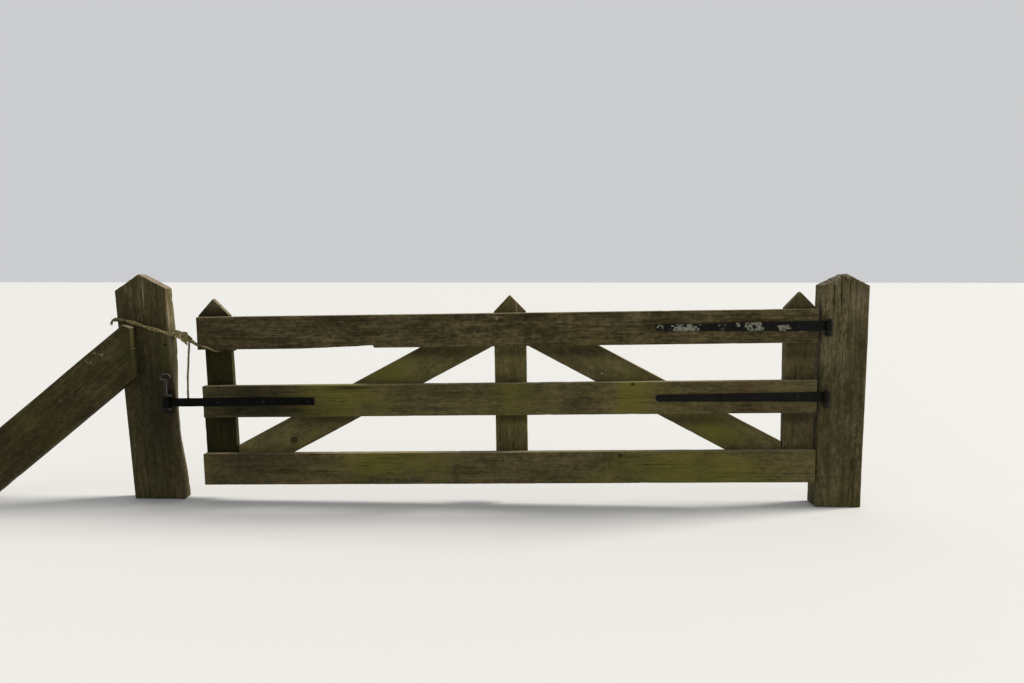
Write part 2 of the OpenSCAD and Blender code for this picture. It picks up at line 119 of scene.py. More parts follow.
def fractal(points, size, seed=0, octaves=3):
    """Noise with octaves of half the size and strength laid over it."""
    size = np.asarray(size, float)
    total, weight = 0, 1
    for i in range(octaves):
        total = total + weight * noise(points, size / 2 ** i, seed + 17 * i)
        weight *= 0.5
    return total / (2 - 2 * weight)


def smoothstep(x, low, high):
    t = np.clip((x - low) / (high - low), 0, 1)
    return t * t * (3 - 2 * t)


# Meshes

def new_object(name, points, faces, material, marks=None):
    """A smooth mesh object; marks are named values, one per point, that the materials read."""
    mesh = bpy.data.meshes.new(name)
    mesh.from_pydata([tuple(p) for p in points], [], [tuple(f) for f in faces])
    mesh.polygons.foreach_set("use_smooth", [True] * len(mesh.polygons))
    for key, values in (marks or {}).items():
        values = np.asarray(values, np.float32)
        kind, field = ("FLOAT", "value") if values.ndim == 1 else ("FLOAT_VECTOR", "vector")
        mesh.attributes.new(key, kind, "POINT").data.foreach_set(field, values.ravel())
    mesh.materials.append(material)
    return placed(name, mesh)


def settle(obj, body, slot, *nodes):
    """Makes the piece move with its body and hides the nodes it stands for; slot is not used."""
    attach(obj, body)
    if nodes:
        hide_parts(*nodes)
    return obj


def joined(name, parts, material, body, slot, *nodes):
    """One piece made of several lists of points and faces."""
    points, faces = [], []
    for part_points, part_faces in parts:
        faces += [tuple(int(i) + len(points) for i in face) for face in part_faces]
        points += [tuple(p) for p in part_points]
    return settle(new_object(name, points, faces, material), body, slot, *nodes)


def framed(points, origin, x, y, z):
    """World places of points that are given in millimetres in a frame."""
    p = np.asarray(points, float) * MM
    return origin + p[:, :1] * x + p[:, 1:2] * y + p[:, 2:] * z


def node_points(node):
    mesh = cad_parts[node].data
    points = np.empty(len(mesh.vertices) * 3, np.float32)
    mesh.vertices.foreach_get("co", points)
    return points.reshape(-1, 3).astype(float)


def box_lattice(*lines):
    """The surface points of a box lattice, given its lines along each axis, and its outward quads."""
    shape = [len(line) for line in lines]
    inside = np.zeros(shape, bool)
    inside[1:-1, 1:-1, 1:-1] = True
    where = np.argwhere(~inside)
    ids = np.full(shape, -1)
    ids[~inside] = np.arange(len(where))

    def quads(sheet, turn=1):
        corners = [sheet[:-1, :-1], sheet[1:, :-1], sheet[1:, 1:], sheet[:-1, 1:]]
        return np.stack(corners[::turn], -1).reshape(-1, 4)

    faces = [quads(ids[:, :, 0], -1), quads(ids[:, :, -1]), quads(ids[0], -1), quads(ids[-1]), quads(ids[:, 0]),
             quads(ids[:, -1], -1)]
    return np.stack([line[index] for line, index in zip(lines, where.T)], 1), np.concatenate(faces)


def rounded(flat, size, radius):
    """The points of a box lattice with the box's edges rounded, and the way out from each."""
    core = np.clip(flat, radius, size - radius)
    out = flat - core
    out = out / np.maximum(norm(out, axis=1, keepdims=True), 1e-9)
    return core + out * radius, out


def spaced(length, step, edge, extra=()):
    """Lattice lines from 0 to length, about step apart, denser at both ends and with the extra ones."""
    near = np.array([0, 0.3, 0.65, 1.05]) * edge
    middle = np.linspace(near[-1], length - near[-1], max(2, round((length - 2 * near[-1]) / step) + 1))
    lines = np.concatenate([near, middle[1:-1], length - near[::-1]])
    extra = np.array([place for place in extra if 2 * edge < place < length - 2 * edge])
    if len(extra):
        lines = np.append(lines[np.abs(lines[:, None] - extra).min(1) > 0.3 * step], extra)
    return np.unique(np.round(lines, 7))


def outline(points):
    """The convex outline of flat points, in order."""
    pts = sorted(set((round(float(x), 6), round(float(y), 6)) for x, y in points))

    def chain(sequence):
        out = []
        for p in sequence:
            while len(out) > 1 and ((out[-1][0] - out[-2][0]) * (p[1] - out[-2][1])
                                    - (out[-1][1] - out[-2][1]) * (p[0] - out[-2][0])) <= 0:
                out.pop()
            out.append(p)
        return out

    return chain(pts)[:-1] + chain(pts[::-1])[:-1]


def outline_ends(points, b):
    """Where the convex outline of flat points starts and ends along the first axis, at places b on the second."""
    hull = outline(points)
    low, high = np.full(len(b), np.inf), np.full(len(b), -np.inf)
    for p, q in zip(hull, hull[1:] + hull[:1]):
        if abs(p[1] - q[1]) < 1e-6:
            continue
        t = (b - p[1]) / (q[1] - p[1])
        inside = (t > -1e-4) & (t < 1 + 1e-4)
        a = p[0] + t * (q[0] - p[0])
        low = np.where(inside, np.minimum(low, a), low)
        high = np.where(inside, np.maximum(high, a), high)
    return low, high


def smooth_path(points, spacing=2.4 * MM):
    """Points at even spacing along a smooth curve through the given ones."""
    p = np.asarray(points, float)
    p = np.concatenate([[2 * p[0] - p[1]], p, [2 * p[-1] - p[-2]]])
    dense = []
    for i in range(1, len(p) - 2):
        steps = max(4, int(norm(p[i + 1] - p[i]) / spacing * 2))
        t = np.linspace(0, 1, steps, endpoint=False)[:, None]
        a, b, c, d = p[i - 1], p[i], p[i + 1], p[i + 2]
        dense.append(0.5 * (2 * b + (c - a) * t + (2 * a - 5 * b + 4 * c - d) * t ** 2
                            + (3 * b - a - 3 * c + d) * t ** 3))
    dense = np.concatenate(dense + [p[-2:-1]])
    run = path_run(dense)
    even = np.linspace(0, run[-1], max(3, round(run[-1] / spacing) + 1))
    return np.stack([np.interp(even, run, dense[:, k]) for k in range(3)], 1)


def path_run(path):
    """How far along a path each of its points is."""
    return np.concatenate([[0], np.cumsum(norm(np.diff(path, axis=0), axis=1))])


def path_frames(path):
    """Tangents, and two sides that turn as little as they can, along a path."""
    tangent = np.gradient(path, axis=0)
    tangent /= norm(tangent, axis=1, keepdims=True)
    side = np.empty_like(path)
    start = np.cross(tangent[0], (0.3, 0.2, 0.93))
    side[0] = start / norm(start)
    for i in range(1, len(path)):
        v = side[i - 1] - tangent[i] * (side[i - 1] @ tangent[i])
        side[i] = v / norm(v)
    return tangent, side, np.cross(tangent, side)


def wound(path, radius, pitch, phase):
    """A path that winds round another one."""
    _, side, other = path_frames(path)
    angle = (TURN * path_run(path) / pitch + phase)[:, None]
    radius = np.broadcast_to(radius, len(path))[:, None]
    return path + radius * (np.cos(angle) * side + np.sin(angle) * other)


def tube(path, radius, sides):
    """A tube along a path; the radius is one number or one for each point."""
    _, side, other = path_frames(path)
    radius = np.broadcast_to(radius, len(path))
    points = []
    for k in range(sides):
        angle = TURN * k / sides
        points.append(path + (radius * cos(angle))[:, None] * side + (radius * sin(angle))[:, None] * other)
    return np.stack(points, 1).reshape(-1, 3), ring_faces(len(path), sides)


def ring_faces(rows, sides):
    """Faces of a closed tube whose points are rows of rings."""
    last = (rows - 1) * sides
    faces = [(start + k, start + m, start + sides + m, start + sides + k) for start in range(0, last, sides)
             for k, m in zip(range(sides), [*range(1, sides), 0])]
    return faces + [tuple(range(sides))[::-1], tuple(range(last, last + sides))]


# Materials

def tinted(color, share):
    return tuple(share * v for v in color)


class Nodes:
    """Builds one node material; an input is a plain value or another node's socket."""

    def __init__(self, name):
        self.material = bpy.data.materials.new(name)
        self.material.use_nodes = True
        self.tree = self.material.node_tree
        self.shader = self.tree.nodes["Principled BSDF"]

    def put(self, socket, value):
        if isinstance(value, bpy.types.NodeSocket):
            self.tree.links.new(value, socket)
        else:
            socket.default_value = (*value, 1) if socket.type == "RGBA" else value

    def add(self, kind, inputs=(), output=0, **settings):
        """An output of a new node."""
        node = self.tree.nodes.new("ShaderNode" + kind)
        for key, value in settings.items():
            setattr(node, key, value)
        for key, value in dict(inputs).items():
            self.put(node.inputs[key], value)
        return node.outputs[output]

    def own(self, offset=(0, 0, 0)):
        """Where the surface is in the world at rest."""
        return self.moved(self.add("TexCoord", output="Object"), offset)

    def mark(self, name, output="Fac"):
        return self.add("Attribute", output=output, attribute_name=name)

    def normal(self):
        return self.add("NewGeometry", output="Normal")

    def moved(self, vector, offset, scale=(1, 1, 1)):
        return self.add("Mapping", {"Vector": vector, "Scale": scale, "Location": offset})

    def noise(self, vector, scale, detail, rough=0.6, offset=(0, 0, 0)):
        """Noise with scale waves a metre, one number or one for each axis."""
        scale = scale if isinstance(scale, tuple) else (scale,) * 3
        inputs = {"Vector": self.moved(vector, offset, scale), "Scale": 1.0, "Detail": detail, "Roughness": rough}
        return self.add("TexNoise", inputs, "Fac")

    def calc(self, operation, a, b=0.0, clamp=False):
        return self.add("Math", {0: a, 1: b}, operation=operation, use_clamp=clamp)

    def times(self, a, b):
        return self.calc("MULTIPLY", a, b)

    def sum(self, *parts):
        """Adds up pairs of a value and its weight."""
        total = self.times(*parts[0])
        for value, weight in parts[1:]:
            total = self.calc("ADD", total, self.times(value, weight))
        return total

    def between(self, value, low, high, to_low=0.0, to_high=1.0):
        """Runs smoothly from to_low to to_high while the value goes from low to high."""
        inputs = {"Value": value, "From Min": low, "From Max": high, "To Min": to_low, "To Max": to_high}
        return self.add("MapRange", inputs, interpolation_type="SMOOTHSTEP")

    def layered(self, color, *layers):
        """A colour under layers, each a mask and the colour that it lets through."""
        for mask, over in layers:
            color = self.add("Mix", {"Factor": mask, 6: color, 7: over}, 2, data_type="RGBA")
        return color

    def ramp(self, fac, *colors):
        """A smooth run through evenly spaced colours."""
        run = self.add("ValToRGB", {"Fac": fac})
        elements = run.node.color_ramp.elements
        while len(elements) < len(colors):
            elements.new(0.5)
        for i, (element, color) in enumerate(zip(elements, colors)):
            element.position = i / (len(colors) - 1)
            element.color = (*color, 1)
        return run

    def surface(self, values):
        for key, value in values.items():
            self.put(self.shader.inputs[key], value)
        return self.material

    def finish(self, color, roughness, height, depth, specular):
        bump = self.add("Bump", {"Height": height, "Distance": depth, "Strength": 1.0})
        return self.surface({"Base Color": color, "Roughness": roughness, "Normal": bump,
                             "Specular IOR Level": specular})


# Rope

HEMP = ((0.08, 0.064, 0.024), (0.19, 0.154, 0.068), (0.36, 0.308, 0.16))
# The second colour is painted shade, for the rope where it runs under the top rail.
DIRTY_HEMP, SHADED_HEMP = (0.065, 0.057, 0.024), (0.012, 0.011, 0.004)


def rope_material(name, bright, shade_under_rail=0.0):
    """Weathered hemp; its last argument paints shade on what runs under the top rail's end."""
    n = Nodes(name)
    own = n.own()
    fibre, mottle, dirt = n.noise(own, 900, 2), n.noise(own, 70, 4), n.noise(own, 13, 3, 0.55)
    tone = n.between(n.sum((fibre, 0.4), (mottle, 0.6)), 0.34, 0.66)
    color = n.ramp(tone, *(tinted(shade, bright) for shade in HEMP))
    color = n.layered(color, (n.between(dirt, 0.45, 0.65, 0, 0.7), DIRTY_HEMP))
    if shade_under_rail:
        x = n.add("SeparateXYZ", {0: own}, "X")
        # Painted shade on the rope past the top rail's end, where it runs under the rail.
        color = n.layered(color, (n.between(x, -3.66, -3.6, 0, shade_under_rail), SHADED_HEMP))
    return n.finish(color, 0.95, n.calc("ADD", fibre, mottle), 0.5 * MM, 0.15)


# The knot's copy is painted brighter than the rest, a painted highlight as if sunlit.
ROPE = {
    "loop": rope_material("rope_fibre", 0.85),
    "knot": rope_material("knot_fibre", 1.25),
    "tail": rope_material("tail_fibre", 0.9),
    "tie": rope_material("tie_fibre", 0.9, 0.85),
}


def laid_rope(path, diameter, seed, fray=0.0):
    """Three strands laid round a path; they spread apart over the length fray at its far end."""
    run = path_run(path)
    spread = np.ones(len(path))
    if fray:
        spread = spread + 1.1 * np.clip(1 - (run[-1] - run) / fray, 0, 1) ** 1.5
    parts = []
    for k in range(3):
        strand = wound(path, 0.24 * diameter * spread, 3.4 * diameter, TURN * k / 3)
        lumps = 1 + 0.1 * noise(np.outer(run, [1, 0, 0]), (diameter * 0.8, 1, 1), seed + k)
        parts.append(tube(strand, 0.26 * diameter * lumps / spread ** 0.6, sides=7))
    return parts


def fibre(root, middle, tip, *radii):
    """A loose fibre; its three radii are in millimetres."""
    return tube(np.array([root, middle, tip]), np.array(radii) * MM, sides=3)


def rope_hairs(path, diameter, seed, per_m=450):
    """Loose fibres that stand off a rope."""
    rng = np.random.default_rng(seed)
    tangent, side, other = path_frames(path)
    parts = []
    for _ in range(int(per_m * path_run(path)[-1])):
        j = rng.integers(1, len(path) - 1)
        angle = rng.uniform(0, TURN)
        out = cos(angle) * side[j] + sin(angle) * other[j]
        forward = tangent[j] * rng.choice([-1, 1])
        long, bend = rng.uniform(0.5, 1.6) * diameter, rng.uniform(0.15, 0.7)
        root = path[j] + out * 0.46 * diameter
        middle = root + long * (forward * 0.45 + out * bend * 0.25)
        tip = root + long * (forward * 0.8 + out * bend + rng.normal(0, 0.15, 3))
        parts.append(fibre(root, middle, tip, 0.3, 0.24, 0.105))
    return parts


def rope_brush(path, diameter, seed, long, count=46):
    """The fibres of a frayed end, spread out past the path's last point."""
    rng = np.random.default_rng(seed)
    tangent, side, other = path_frames(path)
    parts = []
    for _ in range(count):
        angle, out = rng.uniform(0, TURN), diameter * rng.uniform(0.1, 0.5)
        lean = cos(angle) * side[-1] + sin(angle) * other[-1]
        reach = long * rng.uniform(0.4, 1)
        root = path[-4] + lean * out * 0.7
        middle = path[-1] + lean * out + tangent[-1] * reach * 0.4
        tip = path[-1] + lean * out * rng.uniform(1.2, 2.4) + (tangent[-1] * 0.9 - UP * 0.15) * reach
        parts.append(fibre(root, middle, tip, 0.5, 0.4, 0.2))
    return parts


def build_tail():
    """The rope's hanging end, on the route of its CAD solid."""
    diameter, top = 12 * MM, np.array([-3804.8, -47, 952.7]) * MM
    x = [0, -2, -5, -8, -10, -12, -15, -18, -19, -19, -20, -20, -20, -20]
    y = [0, 0, 0, 1, 1, 2, 2, 2, 1, 0, 0, -1, 0, 0]
    path = smooth_path(top + np.stack([x, y, range(0, -28 * len(x), -28)], 1) * MM)
    tail = joined("rope_tail_end", laid_rope(path, diameter, 1, 20 * MM), ROPE["tail"], "posts", "rope", "rope_tail")
    fibres = rope_hairs(path[6:], diameter, 2) + rope_brush(path, diameter, 3, 16 * MM)
    hairs = joined("rope_tail_fibres", fibres, ROPE["tail"], "posts", "rope")


def build_loop():
    """Two ropes twisted about each other, once round the leaning post, and a frayed stub."""
    diameter = 12.4 * MM
    path = smooth_path(framed([
        [203, -49, 980], [186, -57, 985], [171, -67, 990], [160, -75, 993.5], [148, -77.6, 997.5], [103, -77.6, 1013],
        [45, -77.6, 1032.5], [-13, -77.6, 1054.5], [-70, -77.6, 1077], [-108, -77.6, 1089.5], [-138, -77.6, 1093],
        [-157, -75, 1092.5], [-166, -67, 1091.5], [-167.8, -52, 1091], [-167.8, 0, 1090], [-166, 18, 1089.5],
        [-158, 27.6, 1089], [-146, 29.6, 1087], [-80, 29.6, 1067], [0, 29.6, 1042], [80, 29.6, 1018],
        [146, 29.6, 998], [159, 27, 994], [171, 12, 990], [188, -17, 985], [203, -42, 980.5],
    ], *LATCH_POST), 2.3 * MM)
    parts = []
    for k in range(2):
        rope = smooth_path(wound(path, 6 * MM, 230 * MM, 0.5 + k * pi), 2.5 * MM)
        parts += laid_rope(rope, diameter, 10 + k) + rope_hairs(rope, diameter, 12 + k, 250)
    stub = smooth_path(framed([
        [-100, -86, 1083], [-122, -93, 1092], [-146, -95, 1096], [-163, -92, 1091], [-172, -88, 1079],
    ], *LATCH_POST))
    parts += laid_rope(stub, 12 * MM, 15, 18 * MM) + rope_brush(stub, 12 * MM, 16, 24 * MM, 70)
    joined("rope_loop_twist", parts, ROPE["loop"], "posts", "rope", "rope_loop")


def build_knot():
    """The hitch between post and leaf: wraps, a small bight on top and a frayed end."""
    along, over = tilted_axes(-22)
    knot = (np.array([-3843.0, -47, 981]) * MM, along, FRONT, over)
    parts = []
    for side in (-1, 1):
        core = smooth_path(framed([
            [-50, -4 * side, 6 * side], [-20, 2, 7 * side], [8, 5 * side, -6 * side], [30, 3 * side, -8 * side],
            [56, side, -8 * side],
        ], *knot))
        parts += laid_rope(core, 15 * MM, 20 + side)
    for start, turns, pitch, turn_r, phase, seed in ((-42, 2.6, 17, 16.5, 2.2, 23), (4, 2.2, 16, 15, 0.4, 24)):
        t = np.linspace(0, turns, 34)
        swell = turn_r + 1.8 * np.sin(t * 5 + seed)
        angle = TURN * t + phase
        wrap = np.stack([start + pitch * t, swell * np.cos(angle), swell * 1.1 * np.sin(angle)], 1)
        parts += laid_rope(smooth_path(framed(wrap, *knot)), 14.5 * MM, seed)
    bight = smooth_path(framed([
        [-12, 12, 4], [-6, 17, 18], [3, 15, 27], [14, 10, 30], [25, 13, 25], [31, 17, 14], [34, 13, 0],
    ], *knot))
    parts += laid_rope(bight, 14 * MM, 25)
    end = smooth_path(framed([[2, 6, -14], [14, 18, -18], [29, 24, -17], [42, 25, -22]], *knot), 2.3 * MM)
    parts += laid_rope(end, 11 * MM, 26, 16 * MM) + rope_brush(end, 11 * MM, 27, 20 * MM, 40)
    for k, rope in enumerate((bight, end)):
        parts += rope_hairs(rope, 11 * MM, 28 + k, 900)
    joined("rope_hitch", parts, ROPE["knot"], "posts", "rope", "rope_knot")


def build_tie():
    """The rope from the knot under the top rail's end and round the latch stile."""
    path = smooth_path(np.array([
        [-3800, -52.5, 968.5], [-3772, -71, 957], [-3750, -84.5, 946.5], [-3714, -86.4, 932.5], [-3672, -86.4, 918],
        [-3652, -86.3, 909.5], [-3641, -82, 902], [-3626, -70, 899.2], [-3590, -50.5, 899.8], [-3562, -38.5, 900.4],
        [-3554, -31, 900.5], [-3552.7, -18, 900.5], [-3552.7, 4, 900.5], [-3555, 15, 900.5], [-3566, 18.6, 900.4],
        [-3640, 18.6, 899.2], [-3712, 18.6, 898], [-3727, 15, 899], [-3748, -8, 914], [-3774, -34, 935],
        [-3800, -44.5, 952.5],
    ]) * MM, 2.6 * MM)
    parts = laid_rope(path, 14 * MM, 30) + rope_hairs(path, 13 * MM, 31, 420)
    joined("rope_tie_round_stile", parts, ROPE["tie"], "leaf", "rope", "rope_tie")


build_tail()
build_loop()
build_knot()
build_tie()


# Wood

LICHEN_PALE, BARE_WOOD = (0.29, 0.275, 0.19), (0.29, 0.235, 0.15)
RUST_STAIN, BLACK_STAIN_AND_SHADE = (0.065, 0.017, 0.007), (0.006, 0.006, 0.0025)
# CRACK_DARK fills the cracks and the bolt hole: partly dirt, partly painted shade in the recesses.
KNOT_DARK, CRACK_DARK = (0.011, 0.008, 0.003), (0.005, 0.004, 0.002)


def wood(name, tones, algae, lichen, drips, offset, algae_color=(0.06, 0.058, 0.013), bleach_and_highlight=0.4, grain=1.0,
         contrast=1.0, top=(0.36, 0.3, 0.2)):
    """Weathered wood: its grain follows the board, while algae, lichen and rain streaks follow the world.

    The tones are dark, middle and pale; top is the pale colour of what faces up, partly sun-bleaching and partly a
    painted highlight.
    """
    n = Nodes(name)
    dark, _, pale = tones
    own, place = n.moved(n.mark("grain", "Vector"), offset), n.own(offset)
    warp = n.noise(own, (0.8, 5, 5), 2)
    shift = n.add("CombineXYZ", {"Y": n.times(warp, 0.06), "Z": n.times(warp, 0.03)})
    bent = n.add("VectorMath", {0: own, 1: shift}, operation="ADD")
    fine = n.noise(bent, (10, 430, 430), 3, 0.62)
    streak = n.noise(bent, (3.2, 66, 66), 5)
    mottle = n.noise(own, (4.5, 9, 9), 6, 0.64)
    blotch = n.noise(own, (30, 48, 48), 6, 0.7)
    rain = n.noise(place, (24, 24, 1.8), 3, 0.55)

    tone = n.sum((streak, 0.22 * grain), (fine, 0.28 * grain), (mottle, 0.36), (blotch, 0.4), (rain, 0.3 * drips))
    middle = 0.5 * (0.5 * grain + 0.76 + 0.3 * drips)
    base = n.ramp(n.between(tone, middle - 0.16 / contrast, middle + 0.18 / contrast), *tones)

    green = n.noise(place, (2.0, 4, 2.6), 5, 0.6, (3, 1, 7))
    green = n.sum((green, 0.8), (rain, 0.3 * drips), (n.mark("algae"), 0.34))
    middle = 0.4 + 0.15 * drips
    green = n.between(green, middle + 0.04 - 0.2 * algae, middle + 0.3 - 0.18 * algae, 0, 0.8)
    green = n.times(green, n.between(mottle, 0.3, 0.62, 0.45, 1))
    drip = n.between(n.noise(place, (30, 30, 1.7), 4, 0.6, (8, 1, 3)), 0.5, 0.72, 0, 0.4 * drips)

    split = n.noise(bent, (1.1, 95, 95), 3, 0.5, (4, 2, 2))
    split = n.between(n.calc("ABSOLUTE", n.calc("SUBTRACT", split, 0.5)), 0.0, 0.011, 1, 0)
    split = n.times(split, n.between(n.noise(own, (3, 14, 14), 3, 0.5, (1, 8, 8)), 0.47, 0.58, 0, 0.8))
    hair = n.noise(bent, (7, 330, 330), 3, 0.6, (2, 5, 1))
    hair = n.times(n.between(hair, 0.5, 0.66), n.between(streak, 0.38, 0.6))
    hair = n.times(hair, n.sum((n.mark("fibre"), 0.85), (mottle, 0.14)))

    dots = n.noise(own, 95, 3, 0.55, (5, 5, 1))
    crust = n.noise(own, (30, 44, 44), 6, 0.75, (9, 4, 2))
    patch = n.noise(place, 4, 2, 0.6, (9, 4, 2))
    spots = n.sum((crust, 0.75), (patch, 0.35), (n.mark("lichen"), 0.4))
    spots = n.between(spots, 0.8 - 0.14 * lichen, 0.86 - 0.14 * lichen, 0, 0.75)
    spots = n.calc("MAXIMUM", spots, n.between(dots, 0.79 - 0.05 * lichen, 0.81 - 0.05 * lichen, 0, 0.6))

    up = n.add("SeparateXYZ", {0: n.normal()}, "Z")
    uncracked = n.between(n.mark("crack"), 0.02, 0.3, 1, 0)
    # Up-facing faces turn paler: partly sun-bleaching, partly a painted highlight from the light above.
    sky = n.times(n.between(up, 0.25, 0.7), n.between(blotch, 0.28, 0.55, 0.5, 1))
    sky = n.times(n.times(sky, uncracked), bleach_and_highlight)
    wear = n.times(n.times(n.mark("worn"), n.between(blotch, 0.35, 0.62, 0, 0.55)), uncracked)
    rings = n.between(n.calc("SINE", n.times(n.mark("knot"), 34.0)), -0.6, 0.8, 0.55, 1)
    color = n.layered(
        base, (green, algae_color), (drip, tinted(dark, 0.5)), (split, tinted(dark, 0.3)), (hair, tinted(pale, 1.35)),
        (spots, LICHEN_PALE), (sky, top), (wear, pale),
        (n.times(n.mark("bare"), n.between(streak, 0.3, 0.6, 0.45, 1)), BARE_WOOD),
        (n.times(n.mark("endgrain"), 0.3), dark),
        (n.times(n.mark("rust"), n.between(blotch, 0.3, 0.62, 0.35, 1)), RUST_STAIN),
        # The dark mark is partly stain and partly painted shade along the rails and round the keeper.
        (n.times(n.mark("dark"), n.between(mottle, 0.3, 0.6, 0.65, 1)), BLACK_STAIN_AND_SHADE),
        (n.times(n.between(n.mark("knot"), 0.25, 0.7), rings), KNOT_DARK),
        # Near-black in the cracks and the bolt hole: partly dirt, partly painted shade.
        (n.mark("crack"), CRACK_DARK),
    )
    height = n.sum((fine, 0.5), (streak, 0.6), (blotch, 0.5), (spots, 0.25), (split, -0.8))
    return n.finish(color, n.between(tone, 0.3, 1.0, 0.95, 0.78), height, 2.6 * MM, 0.12)


WOOD = {kind: wood(kind + "_wood", tones, *amounts, **extra) for kind, tones, amounts, extra in (
    ("rail", ((0.026, 0.02, 0.008), (0.062, 0.049, 0.0195), (0.132, 0.106, 0.05)), (0.12, 0.1, 0.1, (0, 0, 0)),
     dict(algae_color=(0.08, 0.071, 0.017), contrast=1.3)),
    ("low_rail", ((0.038, 0.031, 0.0122), (0.09, 0.0735, 0.029), (0.157, 0.13, 0.057)),
     (0.28, 0.15, 0.15, (1.7, 0.4, 0.2)), dict(algae_color=(0.124, 0.115, 0.0175), contrast=0.95)),
    ("upright", ((0.057, 0.047, 0.0172), (0.112, 0.093, 0.033), (0.172, 0.144, 0.06)),
     (0.4, 0.15, 0.5, (5.1, 1.4, 0.7)), dict(algae_color=(0.112, 0.105, 0.013), grain=0.7)),
    ("shaded_upright", ((0.037, 0.0295, 0.012), (0.079, 0.064, 0.026), (0.125, 0.104, 0.05)),
     (0.3, 0.15, 0.5, (5.1, 1.4, 0.7)), dict(algae_color=(0.07, 0.063, 0.015), grain=0.8)),
    # The latch stile's copy is painted dark all over, standing for the shade it is in.
    ("dark_upright", ((0.0085, 0.0078, 0.0012), (0.0185, 0.017, 0.0025), (0.042, 0.036, 0.0105)),
     (0.5, 0.1, 0.5, (2.1, 3.4, 0.7)), dict(algae_color=(0.017, 0.018, 0.0018), grain=0.8)),
    ("brace", ((0.053, 0.0443, 0.0175), (0.105, 0.0885, 0.034), (0.157, 0.133, 0.059)),
     (0.38, 0.15, 0.3, (8.3, 2.2, 1.9)), dict(algae_color=(0.103, 0.097, 0.0135), grain=0.6)),
    ("post", ((0.027, 0.0215, 0.008), (0.06, 0.0495, 0.0195), (0.125, 0.1, 0.05)),
     (0.2, 0.3, 0.5, (3.3, 7.7, 0.3)), dict(bleach_and_highlight=0.75, top=(0.26, 0.205, 0.15))),
    ("hinge_post", ((0.034, 0.028, 0.01), (0.082, 0.069, 0.029), (0.19, 0.16, 0.088)),
     (0.3, 0.6, 0.5, (6.3, 2.7, 4.3)), dict(bleach_and_highlight=0.75, top=(0.31, 0.245, 0.175))),
    ("raker", ((0.02, 0.015, 0.0052), (0.039, 0.0306, 0.01), (0.082, 0.065, 0.027)),
     (0.25, 0.4, 0.2, (1.3, 9.7, 5.3)), dict(bleach_and_highlight=0.6)),
)}
